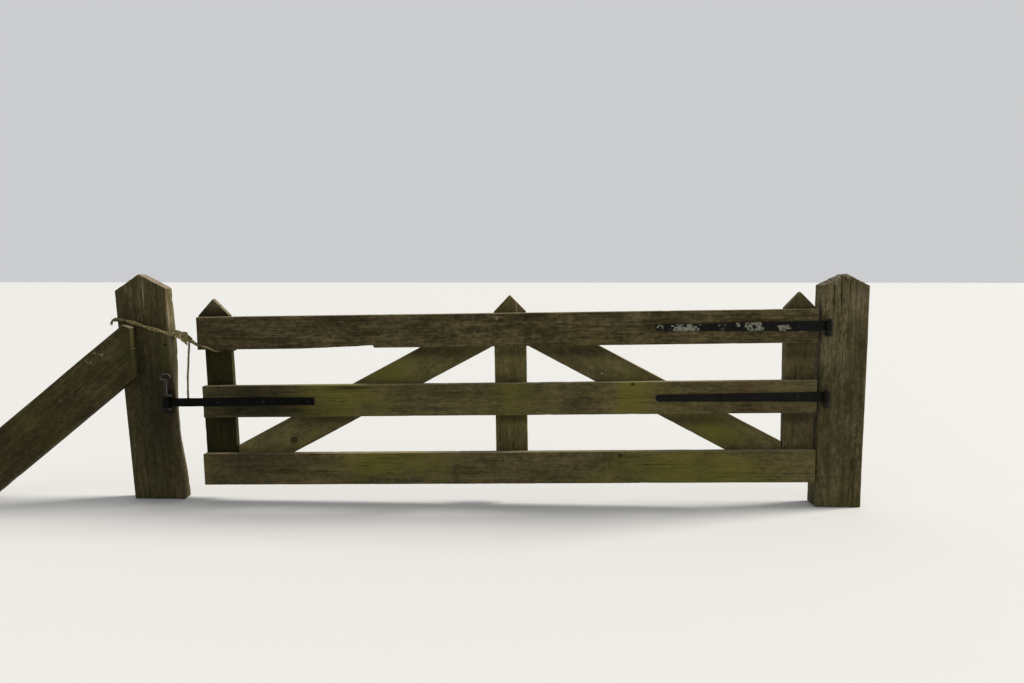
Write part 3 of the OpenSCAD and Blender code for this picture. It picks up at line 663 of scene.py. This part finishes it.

# Stains, growth and painted shade on each board: the kind, its place and its three radii in the world in mm, and its
# strength.
PAINT = {
    "top_rail": [
        ("fibre", -3250, -79, 985, 330, 60, 75, 0.9), ("fibre", -2450, -79, 1010, 260, 60, 60, 0.5),
        ("fibre", -900, -79, 1030, 320, 60, 60, 0.4), ("algae", -1905, -79, 1015, 90, 60, 260, 0.6),
        ("bare", -1975, -79, 1103, 26, 40, 5, 0.6), ("bare", -1982, -79, 1095, 7, 30, 6, 0.9),
        ("lichen", -1560, -79, 1050, 16, 30, 8, 0.8), ("lichen", -1520, -79, 1010, 9, 30, 7, 0.7),
        ("dark", -2700, -79, 1075, 420, 30, 26, 0.3), ("dark", -3420, -79, 1000, 420, 60, 160, 0.3),
        ("algae", -1250, -79, 925, 620, 60, 40, 0.5),
    ],
    "middle_rail": [
        # The two large dark patches at the left end are painted shadow.
        ("dark", -3440, -79, 640, 330, 60, 200, 0.8), ("dark", -3400, -79, 550, 420, 60, 72, 0.95),
        ("dark", -2850, -79, 686, 135, 60, 9, 0.9), ("algae", -1200, -79, 610, 80, 60, 260, 0.95),
        ("algae", -2990, -79, 600, 190, 60, 200, 0.9), ("algae", -1900, -79, 680, 95, 60, 120, 0.5),
        ("rust", -560, -79, 690, 60, 60, 26, 0.6), ("knot", -1197, -79, 718, 14, 30, 12, 1.0),
        ("lichen", -1993, -79, 600, 13, 30, 9, 0.8), ("lichen", -1978, -79, 700, 9, 30, 8, 0.7),
        ("dark", -2100, -79, 640, 330, 60, 60, 0.25),
    ],
    "bottom_rail": [
        ("knot", -1263, -79, 298, 16, 30, 13, 1.0), ("algae", -2600, -79, 240, 340, 60, 120, 0.9),
        ("algae", -900, -79, 230, 380, 60, 100, 0.8), ("dark", -3450, -79, 250, 300, 60, 120, 0.6),
        ("rust", -3560, -60, 340, 60, 60, 10, 0.5),
    ],
    "latch_stile": [
        # The narrow dark bands at 690 and 480 mm are painted shade along the middle rail's edges.
        ("dark", -3600, -20, 520, 200, 60, 190, 0.35), ("dark", -3560, -30, 690, 150, 30, 30, 0.6),
        ("dark", -3560, -30, 480, 150, 30, 34, 0.6), ("bare", -3668, -29, 1200, 200, 30, 60, 0.26),
    ],
    "middle_upright": [
        # The narrow dark bands at 895, 730 and 505 mm are painted shade along the rails' edges.
        ("dark", -1905, -30, 895, 130, 30, 26, 0.55), ("dark", -1905, -30, 505, 130, 30, 36, 0.7),
        ("bare", -1868, -29, 1150, 4.2, 30, 70, 1.0), ("dark", -1905, -30, 730, 130, 30, 20, 0.3),
        ("dark", -1905, -30, 330, 130, 30, 150, 0.4), ("dark", -1915, -30, 1150, 70, 30, 60, 0.22),
    ],
    "hinge_stile": [
        # Both dark bands are painted shade just below the rails.
        ("dark", -240, -30, 895, 130, 30, 26, 0.5), ("dark", -240, -30, 520, 130, 30, 34, 0.6),
    ],
    "latch_brace": [
        # The two narrow dark bands are painted shade just below the rails.
        ("knot", -3200, -29, 362, 28, 30, 22, 1.0), ("dark", -2400, -30, 896, 330, 30, 36, 0.72),
        ("dark", -3000, -30, 490, 300, 30, 34, 0.6), ("algae", -2620, -30, 790, 150, 60, 95, 0.5),
    ],
    "hinge_brace": [
        # The two narrow dark bands are painted shade just below the rails.
        ("dark", -1500, -30, 901, 330, 30, 36, 0.72), ("dark", -900, -30, 500, 300, 30, 34, 0.6),
        ("lichen", -1370, -29, 775, 14, 30, 11, 0.9), ("algae", -700, -30, 400, 150, 60, 110, 0.6),
    ],
    "hinge_post": [
        ("lichen", 20, -30, 1345, 50, 60, 24, 0.6), ("dark", -60, -65, 500, 160, 80, 420, 0.35),
        ("bare", 60, -65, 1200, 40, 40, 110, 0.35), ("lichen", -60, -65, 1300, 30, 40, 30, 0.5),
    ],
    "latch_post": [
        # The large dark patch low on the post, the one round the keeper and the one in the bolt hole are painted shade.
        ("rust", -3900, -65, 660, 28, 14, 85, 0.95), ("rust", -3925, -65, 560, 30, 30, 120, 0.35),
        ("dark", -4010, -65, 560, 180, 40, 440, 0.85), ("dark", -3940, -65, 640, 60, 30, 120, 0.5),
        ("dark", -4080, -65, 1010, 60, 30, 60, 0.3), ("fibre", -4062, -65, 1235, 34, 30, 120, 1.0),
        ("bare", -4062, -65, 1240, 4, 30, 75, 0.75), ("dark", -3944, -65, 932, 15, 30, 18, 0.7),
        ("algae", -3945, -65, 860, 45, 30, 95, 1.2),
        *(("bare", -3861 - 0.0524 * z, -60, z, 9, 14, 120, 0.55) for z in (560, 740, 920, 1100)),
    ],
    "raking_board": [
        ("lichen", -4310, -135, 885, 50, 30, 22, 0.55), ("lichen", -4370, -135, 840, 40, 30, 18, 0.55),
        ("dark", -4120, -135, 900, 60, 60, 150, 0.5), ("algae", -4110, -135, 880, 60, 60, 130, 1.0),
    ],
}
PAINT_MARKS = ("algae", "rust", "dark", "lichen", "bare", "knot", "fibre")


# Boards and posts

# Lattice lines through a small spot of paint and through the bolt hole, in radii from the centre.
SPOT_LINES = (-1.5, -1, -0.5, 0, 0.5, 1, 1.5)
HOLE_LINES = (-1.25, -1.02, -0.75, -0.35, 0, 0.35, 0.75, 1.02, 1.25)
SMALL_SPOT = 30 * MM
BOLT_HOLE, BOLT_HOLE_R, BOLT_HOLE_DEEP = (-3944, -65, 934.5), 7.5 * MM, 16 * MM

# The size of what weather does to wood, in metres along, across and through the board.
WAVE, NICK, SINK, RIDGE = (0.22, 0.5, 0.5), (0.06, 0.2, 0.2), (0.5, 0.07, 0.07), (0.35, 0.016, 0.016)
PIT, END_PIT, TORN, CRACK_WAVE = (0.035, 0.012, 0.012), (0.02, 0.02, 0.02), (0.05, 0.016, 0.03), (0.05, 9, 9)
BOW, BOW_WAVE = 5 * MM, (0.45, 1, 1)


def random_cracks(rng, count, width, length, from_ends, deep, wide):
    """Each crack: its place across, its middle and half length along, depth, half width and if it is in front."""
    cracks = []
    for _ in range(count):
        half = rng.uniform(0.06, 0.22) * length
        at_end = rng.random() < from_ends
        middle = (rng.choice([0.0, 1.0]) if at_end else rng.uniform(0.1, 0.9)) * length
        cracks.append((rng.uniform(0.12, 0.88) * width, middle, half, rng.uniform(0.5, 1) * deep,
                       rng.uniform(0.6, 1) * wide, rng.random() < 0.6))
    return cracks


def weathered(flat, size, seed, edge, worn, rough, ragged):
    """A box lattice with worn edges and raised grain, the way out from each point, and how sideways that is."""
    radius = edge * (1 + 0.55 * worn * fractal(flat + seed, WAVE, seed))
    radius = radius + edge * worn * 1.3 * smoothstep(noise(flat + seed, NICK, seed + 5), 0.55, 0.95)
    shaped, out = rounded(flat, size, np.clip(radius, 0.3 * edge, 2.4 * edge)[:, None])
    sideways = np.abs(out[:, 1:]).max(1)
    sink = 0.5 + 0.5 * fractal(flat + seed, SINK, seed + 1)
    ridges = 0.5 + 0.5 * fractal(flat, RIDGE, seed + 2, 2)
    pits = smoothstep(noise(flat, PIT, seed + 3), 0.45, 0.9)
    pits = pits + 1.5 * smoothstep(noise(flat, END_PIT, seed + 4), 0.3, 0.8) * (1 - sideways)
    drop = rough * MM * (1.3 * sink + 0.8 * ridges + 0.7 * pits)
    torn = smoothstep(noise(flat + seed, TORN, seed + 6), -0.2, 0.7) * (flat[:, 0] > size[0] / 2)
    drop = drop + ragged * torn * (1 - sideways)
    return shaped - out * drop[:, None], out, sideways


def timber(node, body, along, kind, seed, edge=4 * MM, worn=1.0, step=14 * MM, cracks=4, crack_deep=5 * MM,
           crack_wide=1.8 * MM, from_ends=0.6, rough=1.0, reshape=None, rows=(), bolt_hole=False, splits=(),
           ragged=0.0):
    """A weathered board that stands for a node: a box lattice mapped onto the node's outline.

    Of the random cracks, the share from_ends starts at an end; the splits are cracks at chosen places. Rows are extra
    lattice lines across the board, and ragged is how deep the upper end's grain is broken out.
    """
    axes = np.array([along, np.cross(FRONT, along), FRONT])
    cad = node_points(node) @ axes.T
    low, high = cad.min(0), cad.max(0)
    length, width, thick = size = high - low
    rng = np.random.default_rng(seed)
    checks = random_cracks(rng, cracks, width, length, from_ends, crack_deep, crack_wide) + list(splits)
    paint = [(key, np.array(spot[:3]), np.array(spot[3:]), strength) for key, *spot, strength in PAINT[node]]

    def ends(b):
        """Where the node starts and ends along the board, at places b across it."""
        return outline_ends(cad[:, :2], np.clip(b, low[1] + 1e-5, high[1] - 1e-5))

    def on_lattice(place):
        a, b = (axes @ place * MM)[:2]
        start, end = ends([b])
        return (a - start[0]) / (end[0] - start[0]) * length, b - low[1]

    extra = [list(rows), [v for at, _, _, _, wide, _ in checks for v in (at - wide, at, at + wide)]]
    for _, centre, radii, _ in paint:
        reach = np.abs(axes) @ radii * MM
        for k, here in enumerate(on_lattice(centre)):
            if reach[k] < SMALL_SPOT:
                extra[k] += [here + t * reach[k] for t in SPOT_LINES]
    hole_at = on_lattice(BOLT_HOLE) if bolt_hole else ()
    for k, here in enumerate(hole_at):
        extra[k] += [here + t * BOLT_HOLE_R for t in HOLE_LINES]
    across = 6.5 * MM
    flat, faces = box_lattice(spaced(length, step, edge * 1.3, extra[0]), spaced(width, across, edge * 1.3, extra[1]),
                              spaced(thick, across * 1.2, edge * 1.3))
    shaped, out, sideways = weathered(flat, size, seed, edge, worn, rough, ragged)

    crack_mark = np.zeros(len(flat))
    for at, middle, half, deep, _, front in checks:
        run = 1 - smoothstep(np.abs(flat[:, 0] - middle) / half, 0.25, 1)
        run = run * (0.75 + 0.25 * noise(flat, CRACK_WAVE, seed + 9))
        facing = out[:, 2] > 0.3 if front else out[:, 2] < -0.3
        cut = (np.abs(flat[:, 1] - at) < 1e-6) & (facing | (np.abs(out[:, 0]) > 0.3))
        shaped = shaped - out * np.where(cut, run * deep, 0)[:, None]
        crack_mark = np.maximum(crack_mark, np.where(cut, run ** 0.4, 0))
    if bolt_hole:
        from_hole = np.hypot(flat[:, 0] - hole_at[0], flat[:, 1] - hole_at[1])
        sunk = (from_hole < 0.96 * BOLT_HOLE_R) & (out[:, 2] > 0.5)
        shaped = shaped - out * np.where(sunk, BOLT_HOLE_DEEP, 0)[:, None]
        crack_mark = np.maximum(crack_mark, np.where(sunk, 1, 0))

    share = shaped[:, 1] / width
    shaped[:, 1] += 4 * share * (1 - share) * BOW * fractal(shaped * [1, 0, 0] + seed, BOW_WAVE, seed + 11)
    start, end = ends(low[1] + shaped[:, 1])
    run = shaped[:, 0] / length
    local = np.stack([start + run * (end - start), low[1] + shaped[:, 1], low[2] + shaped[:, 2]], 1)
    if reshape:
        shaped = local - low
        reshape(shaped, size)
        local = low + shaped
    world = local @ axes
    marks = {
        "crack": crack_mark, "worn": np.clip(2.4 * (1 - np.abs(out).max(1)) / 0.3, 0, 1),
        "endgrain": 1 - smoothstep(sideways, 0.4, 0.9), "grain": local,
        **{key: np.zeros(len(local)) for key in PAINT_MARKS},
    }
    for key, centre, radii, strength in paint:
        off = (world - centre * MM) / (radii * MM)
        marks[key] = np.maximum(marks[key], strength * np.exp(-(off ** 2).sum(1)))
    suffix, slot = ("_board", "board_wood") if body == "leaf" else ("_timber", "post_wood")
    settle(new_object(node + suffix, world, faces, WOOD[kind], marks), body, slot, node)


def splinter(shaped, size):
    """Raises the top rail's lower edge along the missing splinter."""
    thick_end, long, high = 1.045, 0.43, 14 * MM
    a, b, _ = shaped.T
    back = thick_end - a
    lift = np.where((back > 0) & (back < long), high * (1 - back / long), 0)
    ragged = 1 + 0.25 * noise(shaped, (0.012, 1, 0.02), 3)
    b += lift * ragged * (1 - b / size[1])


def rope_wear(shaped, size):
    """Wears the latch stile's outer edge hollow between the two upper rails."""
    low, high, run_out, deep = 0.588, 0.822, 45 * MM, 29 * MM
    a, b, _ = shaped.T
    hollow = smoothstep(a, low - run_out, low) * (1 - smoothstep(a, high, high + run_out))
    b -= hollow * deep * smoothstep(b / size[1], 0.4, 1)


def wane(shaped, size):
    """Narrows the latch post's back edge beside the leaf, as where the bark side of the log was."""
    high, low, flare, deep = 0.95, 0.5, 0.45, 27 * MM
    a, b, c = shaped.T
    pull = (1 - smoothstep(a, low, high)) * smoothstep(a, 0, flare)
    b += deep * pull * ((1 - c / size[2]) * (1 - smoothstep(b / size[1], 0, 0.5)))


def long_edge(node):
    """Direction of the longest straight edge of the node's outline, seen from the front."""
    hull = outline(node_points(node)[:, [0, 2]])
    p, q = max(zip(hull, hull[1:] + hull[:1]), key=lambda edge: dist(*edge))
    run = np.array([q[0] - p[0], 0, q[1] - p[1]]) * (1 if q[0] > p[0] else -1)
    return run / norm(run)


RAIL = dict(edge=5 * MM, cracks=7)
POST = dict(edge=7 * MM, worn=1.3, crack_deep=14 * MM, crack_wide=3 * MM, step=12 * MM, rough=1.6)
HINGE_POST_SPLITS = (
    (0.2, 1.28, 0.19, 0.016, 0.0034, True), (0.159, 1.3, 0.2, 0.018, 0.0042, True),
    (0.112, 1.3, 0.1, 0.012, 0.003, True), (0.07, 1.24, 0.13, 0.014, 0.0034, True),
)
for node, body, along, kind, seed, extra in (
    ("top_rail", "leaf", LEAF_X, "rail", 11, dict(RAIL, reshape=splinter, rows=(1.044, 1.046))),
    ("middle_rail", "leaf", LEAF_X, "low_rail", 12, RAIL),
    ("bottom_rail", "leaf", LEAF_X, "low_rail", 13, dict(RAIL, cracks=6)),
    ("latch_stile", "leaf", STILE_Z, "dark_upright", 14, dict(reshape=rope_wear)),
    ("middle_upright", "leaf", LEAF_Z, "upright", 15, {}),
    ("hinge_stile", "leaf", LEAF_Z, "shaded_upright", 16, {}),
    ("latch_brace", "leaf", long_edge("latch_brace"), "brace", 17, {}),
    ("hinge_brace", "leaf", long_edge("hinge_brace"), "brace", 18, {}),
    ("hinge_post", "posts", UP, "hinge_post", 21,
     dict(POST, cracks=9, from_ends=0.8, ragged=8 * MM, splits=HINGE_POST_SPLITS)),
    ("latch_post", "posts", LEAN_Z, "post", 22,
     dict(POST, cracks=8, from_ends=0.7, ragged=5 * MM, bolt_hole=True, reshape=wane)),
    ("raking_board", "posts", long_edge("raking_board"), "raker", 23,
     dict(edge=6 * MM, worn=1.4, cracks=6, crack_deep=8 * MM, crack_wide=2.2 * MM, rough=1.4)),
):
    timber(node, body, along, kind, seed, **extra)


# Ironwork

DARK_RUST, BRIGHT_RUST, GLINT_METAL = (0.045, 0.016, 0.006), (0.13, 0.048, 0.016), (0.27, 0.25, 0.21)
GROWTH = ((0.06, 0.063, 0.042), (0.15, 0.155, 0.115), (0.27, 0.275, 0.215))
GLINT_SIDE = (0.6, 0, 0.8)


def iron(name, base, rust_amount, offset=(0, 0, 0), specular=0.1, glint=0.0):
    """Forged iron: black scale with rust, pale lichen where it is marked, and a painted highlight of pale metal on
    faces turned to the light.
    """
    n = Nodes(name)
    own = n.own(offset)
    cloud, pit, large = n.noise(own, 22, 6, 0.65), n.noise(own, 210, 4, 0.7), n.noise(own, (5, 9, 9), 3, 0.5)
    rust = n.sum((cloud, 0.6), (large, 0.5))
    rust = n.between(rust, 0.72 - 0.22 * rust_amount, 0.86 - 0.22 * rust_amount, 0, 0.9)
    patch, speck = n.noise(own, (34, 40, 50), 3, 0.5, (4, 2, 8)), n.noise(own, 110, 5, 0.7, (1, 6, 3))
    grown = n.between(n.sum((patch, 0.7), (speck, 0.4), (n.mark("lichen"), 0.4)), 0.85, 0.91, 0, 0.95)
    color = n.layered(
        base, (n.between(cloud, 0.35, 0.7), tinted(base, 2.2)),
        (rust, n.layered(DARK_RUST, (n.between(pit, 0.35, 0.65), BRIGHT_RUST))),
        (grown, n.ramp(n.between(speck, 0.35, 0.65), *GROWTH)),
    )
    if glint:
        # Painted highlight: faces turned up and to the right, towards the light, get pale metal.
        facing = n.add("VectorMath", {0: n.normal(), 1: GLINT_SIDE}, "Value", operation="DOT_PRODUCT")
        bare = n.between(facing, 0.4, 0.85, 0, glint)
        color = n.layered(color, (n.times(bare, n.between(cloud, 0.3, 0.55, 0.5, 1)), GLINT_METAL))
    height = n.sum((cloud, 1.0), (pit, 0.35), (grown, 0.6))
    roughness = n.calc("ADD", n.between(pit, 0.3, 0.7, 0.45, 0.65), n.times(rust, 0.25), True)
    return n.finish(color, roughness, height, 0.9 * MM, specular)


# The keeper and the drop pin get a painted highlight on their lit side.
IRON = {
    "upper": iron("upper_strap_iron", (0.0032, 0.0032, 0.0026), 0.1),
    "lower": iron("lower_strap_iron", (0.0032, 0.0031, 0.0024), 0.15, (3, 1, 2)),
    "latch": iron("latch_iron", (0.0014, 0.0015, 0.0009), 0.1, (7, 5, 1), specular=0.05),
    "keeper": iron("keeper_iron", (0.005, 0.0038, 0.003), 0.5, (7, 5, 1), glint=0.3),
    "pintle": iron("pintle_iron", (0.008, 0.0075, 0.006), 0.6, (1, 5, 4)),
    "bolts": iron("bolt_iron", (0.007, 0.0065, 0.005), 0.45, (2, 8, 4)),
    "nails": iron("nail_iron", (0.014, 0.011, 0.008), 0.8, (6, 2, 5)),
    "steel": iron("pin_steel", (0.01, 0.0088, 0.007), 0.35, (5, 3, 9), specular=0.25, glint=1.0),
}
STRAP_T, SHOULDER_R = 8 * MM, 17 * MM
NEAR_END = 60 * MM


def strap(name, node, along, pin, outer_r, inner_r, turn, tip_round, material, seed, grown=()):
    """A forged strap of flat bar that tapers to its tip and is rolled into an eye round an upright pin.

    Each patch in grown is lichen: its middle and half length from the tip, its middle and half height as shares of
    the bar's, and its strength.
    """
    across = np.cross(FRONT, along)
    cad = node_points(node)
    flat_part = cad[cad[:, 1] > cad[:, 1].max() - 1.5 * STRAP_T]
    tip = (flat_part @ along).min()
    centre = np.array([pin[0], pin[1], 0]) @ along
    eye_z = cad[np.hypot(cad[:, 0] - pin[0], cad[:, 1] - pin[1]) < outer_r * 1.02][:, 2]
    near_tip = flat_part[flat_part @ along < tip + NEAR_END] @ across
    near_eye = flat_part[flat_part @ along > centre - NEAR_END] @ across
    tip_h, root_h = np.ptp(near_tip), np.ptp(near_eye)
    middle_z = (near_tip.max() + near_tip.min()) / 2
    neutral = (outer_r + inner_r) / 2
    straight = centre - tip
    size = np.array([straight + turn * neutral, root_h, STRAP_T])
    edge = 1.6 * MM
    flat, faces = box_lattice(spaced(size[0], 9 * MM, edge * 2), spaced(root_h, 6 * MM, edge),
                              spaced(STRAP_T, 3 * MM, edge))
    radius = np.clip(edge * (1 + 0.5 * fractal(flat, (0.05, 0.05, 0.05), seed)), 0.5 * edge, 1.6 * edge)[:, None]
    shaped, out = rounded(flat, size, radius)
    dents = 0.5 + 0.5 * fractal(flat, (0.028, 0.022, 0.02), seed + 1)
    pits = smoothstep(noise(flat, (0.009, 0.009, 0.009), seed + 2), 0.3, 0.9)
    a, b, c = (shaped - out * (MM * (0.55 * dents + 0.35 * pits))[:, None]).T

    height = tip_h + (root_h - tip_h) * np.clip(a / straight, 0, 1)
    if tip_round:
        from_tip = np.clip(tip_h / 2 - a, 0, tip_h / 2)
        height = np.maximum(height * np.sqrt(1 - (from_tip / (tip_h / 2)) ** 2), 2 * MM)
    up = (b / root_h - 0.5) * height
    angle = np.clip((a - straight) / neutral, 0, None)
    r = outer_r - c * np.where(angle > 0, (outer_r - inner_r) / STRAP_T, 1)
    eye_mid = (eye_z.min() + eye_z.max()) / 2
    rolled = np.stack([pin[0] + np.sign(along[0]) * r * np.sin(angle), pin[1] + r * np.cos(angle),
                       eye_mid + up * across[2] * np.ptp(eye_z) / root_h], 1)
    run = tip + np.minimum(a, straight)
    on_flat = run[:, None] * along + (middle_z + up)[:, None] * across
    on_flat[:, 1] = pin[1] + r
    share = smoothstep(a, straight - NEAR_END, straight)
    on_flat[:, 2] = on_flat[:, 2] * (1 - share) + (eye_mid + up * across[2]) * share
    world = np.where((angle > 0)[:, None], rolled, on_flat)
    lichen = np.zeros(len(world))
    share_up = np.sign(across[2]) * (2 * b / root_h - 1)
    for middle, half, at, tall, strength in grown:
        off = np.clip(np.abs(flat[:, 0] - middle) / half, 0, 2) ** 4 + ((share_up - at) / tall) ** 4
        lichen = np.maximum(lichen, strength * np.exp(-off))
    settle(new_object(name, world, faces, material, {"lichen": lichen}), "leaf", "forged_iron", node)


def build_straps():
    """The hinge straps roll round the pintles' pins, and the latch bar round the drop pin."""
    grown = ((0.166, 0.112, 0, 1.4, 0.92), (0.022, 0.029, 0, 1.3, 0.7), (0.376, 0.03, 0, 1.1, 0.9),
             (0.464, 0.017, 0.5, 0.7, 0.9), (0.55, 0.06, 0, 1.5, 1.12), (0.722, 0.048, -0.3, 0.9, 0.95))
    for side, seed, patches in (("upper", 31, grown), ("lower", 32, ())):
        low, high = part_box(side + "_pintle")
        pin, eye_r = ((low.x + high.x) / 2, low.y + SHOULDER_R), 19.1 * MM
        strap(side + "_hinge_strap", side + "_strap", LEAF_X, pin, eye_r, eye_r - STRAP_T, radians(303), True,
              IRON[side], seed, patches)
    low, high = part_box("drop_pin")
    strap("latch_bar_strap", "latch_bar", -LEAF_X, ((low.x + high.x) / 2, (low.y + high.y) / 2), 19 * MM, 13 * MM,
          radians(300), False, IRON["latch"], 33)


def paint_iron_nodes():
    for node, kind in (("upper_pintle", "pintle"), ("lower_pintle", "pintle"), ("latch_keeper", "keeper"),
                       ("drop_pin", "steel")):
        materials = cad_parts[node].data.materials
        materials.clear()
        materials.append(IRON[kind])


def lathe(profile, sides, centre, axis, wobble=0.0, seed=0):
    """Points and faces of a turned shape on a level axis: profile is a list of (radius, distance along it)."""
    side = np.cross(axis, UP)
    other = np.cross(axis, side)
    rng = np.random.default_rng(seed)
    points = []
    for r, h in profile:
        for k in range(sides):
            angle = TURN * k / sides
            own_r = r * (1 + wobble * rng.uniform(-1, 1))
            points.append(centre + axis * h + own_r * (cos(angle) * side + sin(angle) * other))
    return points, ring_faces(len(profile), sides)


def in_mm(*profile):
    return [(r * MM, h * MM) for r, h in profile]


WASHER = in_mm((17, 0), (17, 2.2), (15.8, 3), (6, 3))
NUT = in_mm((10.4, 2.6), (11, 3.6), (11, 11.4), (9.8, 12.6))
BOLT_END = in_mm((5.6, 11), (5.8, 17), (4.6, 19))
NAIL_HEAD = in_mm((3.6, -1), (3.8, 0.4), (2.8, 0.9), (0.4, 1))
DOME = ((1, 0), (1.02, 0.15), (0.93, 0.45), (0.7, 0.8), (0.38, 0.97), (0.08, 1))


def bolt_head(place, seed, r):
    """The domed head of a coach bolt or a screw."""
    h = 0.55 * r
    dome = [(r * wide, h * high) for wide, high in DOME]
    return [lathe(dome, 16, place, FRONT, 0.025, seed)]


def nut_and_washer(place, seed):
    """A round washer, a hexagon nut and the bolt's end, behind a board."""
    return [lathe(WASHER, 20, place, -FRONT, 0.01, seed), lathe(NUT, 6, place, -FRONT),
            lathe(BOLT_END, 12, place, -FRONT, 0.02, seed + 1)]


RAIL_FRONT, RAIL_BACK = (corner.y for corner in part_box("top_rail"))
STILE_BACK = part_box("hinge_stile")[1].y


def build_bolts():
    """Bolts through both straps and the latch bar, with their nuts behind the boards."""
    on_strap = ((0.026, RAIL_BACK, 11), (0.38, RAIL_BACK, 9), (0.555, RAIL_BACK, 11), (0.8, STILE_BACK, 11))
    over_brace = ((0.026, STILE_BACK, 11), *on_strap[1:])
    on_bar = ((0.035, RAIL_BACK, 10), (0.3, RAIL_BACK, 9), (0.57, STILE_BACK, 10))
    parts = []
    for node, places, side in (("upper_strap", on_strap, 1), ("lower_strap", over_brace, 1), ("latch_bar", on_bar, -1)):
        cad = node_points(node)
        flat_part = cad[cad[:, 1] > RAIL_FRONT - 0.1 * MM]
        run, z = side * (flat_part @ LEAF_X), flat_part @ LEAF_Z
        near_tip = z[run < run.min() + NEAR_END]
        for i, (from_tip, back, r) in enumerate(places):
            spot = side * (run.min() + from_tip) * LEAF_X + (near_tip.max() + near_tip.min()) / 2 * LEAF_Z
            parts += bolt_head(spot - FRONT * (RAIL_FRONT - STRAP_T + 0.6 * MM), 40 + i, r * MM)
            parts += nut_and_washer(spot - FRONT * (back - 0.5 * MM), 50 + i)
    joined("strap_bolts", parts, IRON["bolts"], "leaf", "forged_iron")


def build_nails():
    """Nail heads where the rails cross the uprights."""
    rng = np.random.default_rng(81)
    nails = []
    for rail in ("top_rail", "middle_rail", "bottom_rail"):
        z = node_points(rail) @ LEAF_Z
        for upright in ("latch_stile", "middle_upright", "hinge_stile"):
            x = node_points(upright) @ LEAF_X
            for across, up in ((0.22, 0.78), (0.76, 0.72), (0.3, 0.24), (0.72, 0.3)):
                at = [x.min() + np.ptp(x) * across, z.min() + np.ptp(z) * up] + rng.uniform(-8, 8, 2) * MM
                spot = at[0] * LEAF_X + at[1] * LEAF_Z - FRONT * (RAIL_FRONT + 1.4 * MM)
                nails.append(lathe(NAIL_HEAD, 10, spot, FRONT, 0.05, int(rng.integers(1e6))))
    joined("board_nails", nails, IRON["nails"], "leaf", "forged_iron")


def build_keeper_screws():
    """One screw above and one below the keeper's arms."""
    low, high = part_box("latch_keeper")
    plate_front, apart, screw_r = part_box("latch_post")[0].y - 8 * MM, 58.5 * MM, 8 * MM
    screws = []
    for side in (-1, 1):
        place = np.array([(low.x + high.x) / 2, plate_front + 0.4 * MM, (low.z + high.z) / 2 + side * apart])
        screws += bolt_head(place, 90 + side, screw_r)
    joined("keeper_screws", screws, IRON["bolts"], "posts", "forged_iron")


build_straps()
paint_iron_nodes()
build_bolts()
build_nails()
build_keeper_screws()


# Floor, light and background

def add_stage():
    """A wide pale floor, an even pale sky and one large soft light from high on the right."""
    reach = 90
    pale = Nodes("floor").surface({"Base Color": (0.5, 0.5, 0.49), "Roughness": 0.9, "Specular IOR Level": 0.1})
    corners = [(-reach, -reach, 0), (reach, -reach, 0), (reach, reach, 0), (-reach, reach, 0)]
    new_object("floor", corners, [(0, 1, 2, 3)], pale)
    world = bpy.data.worlds.new("studio")
    world.use_nodes = True
    background = world.node_tree.nodes["Background"]
    background.inputs["Color"].default_value = (0.97, 0.98, 1, 1)
    background.inputs["Strength"].default_value = 0.62
    bpy.context.scene.world = world
    sun = bpy.data.lights.new("key", "SUN")
    sun.energy = 6.6
    sun.angle = radians(20)
    sun.color = (1, 0.96, 0.9)
    placed("key", sun).rotation_euler = Vector((1.0, 0.2, 0.66)).to_track_quat("Z", "Y").to_euler()
    bpy.context.scene.view_settings.view_transform = "Standard"


add_stage()
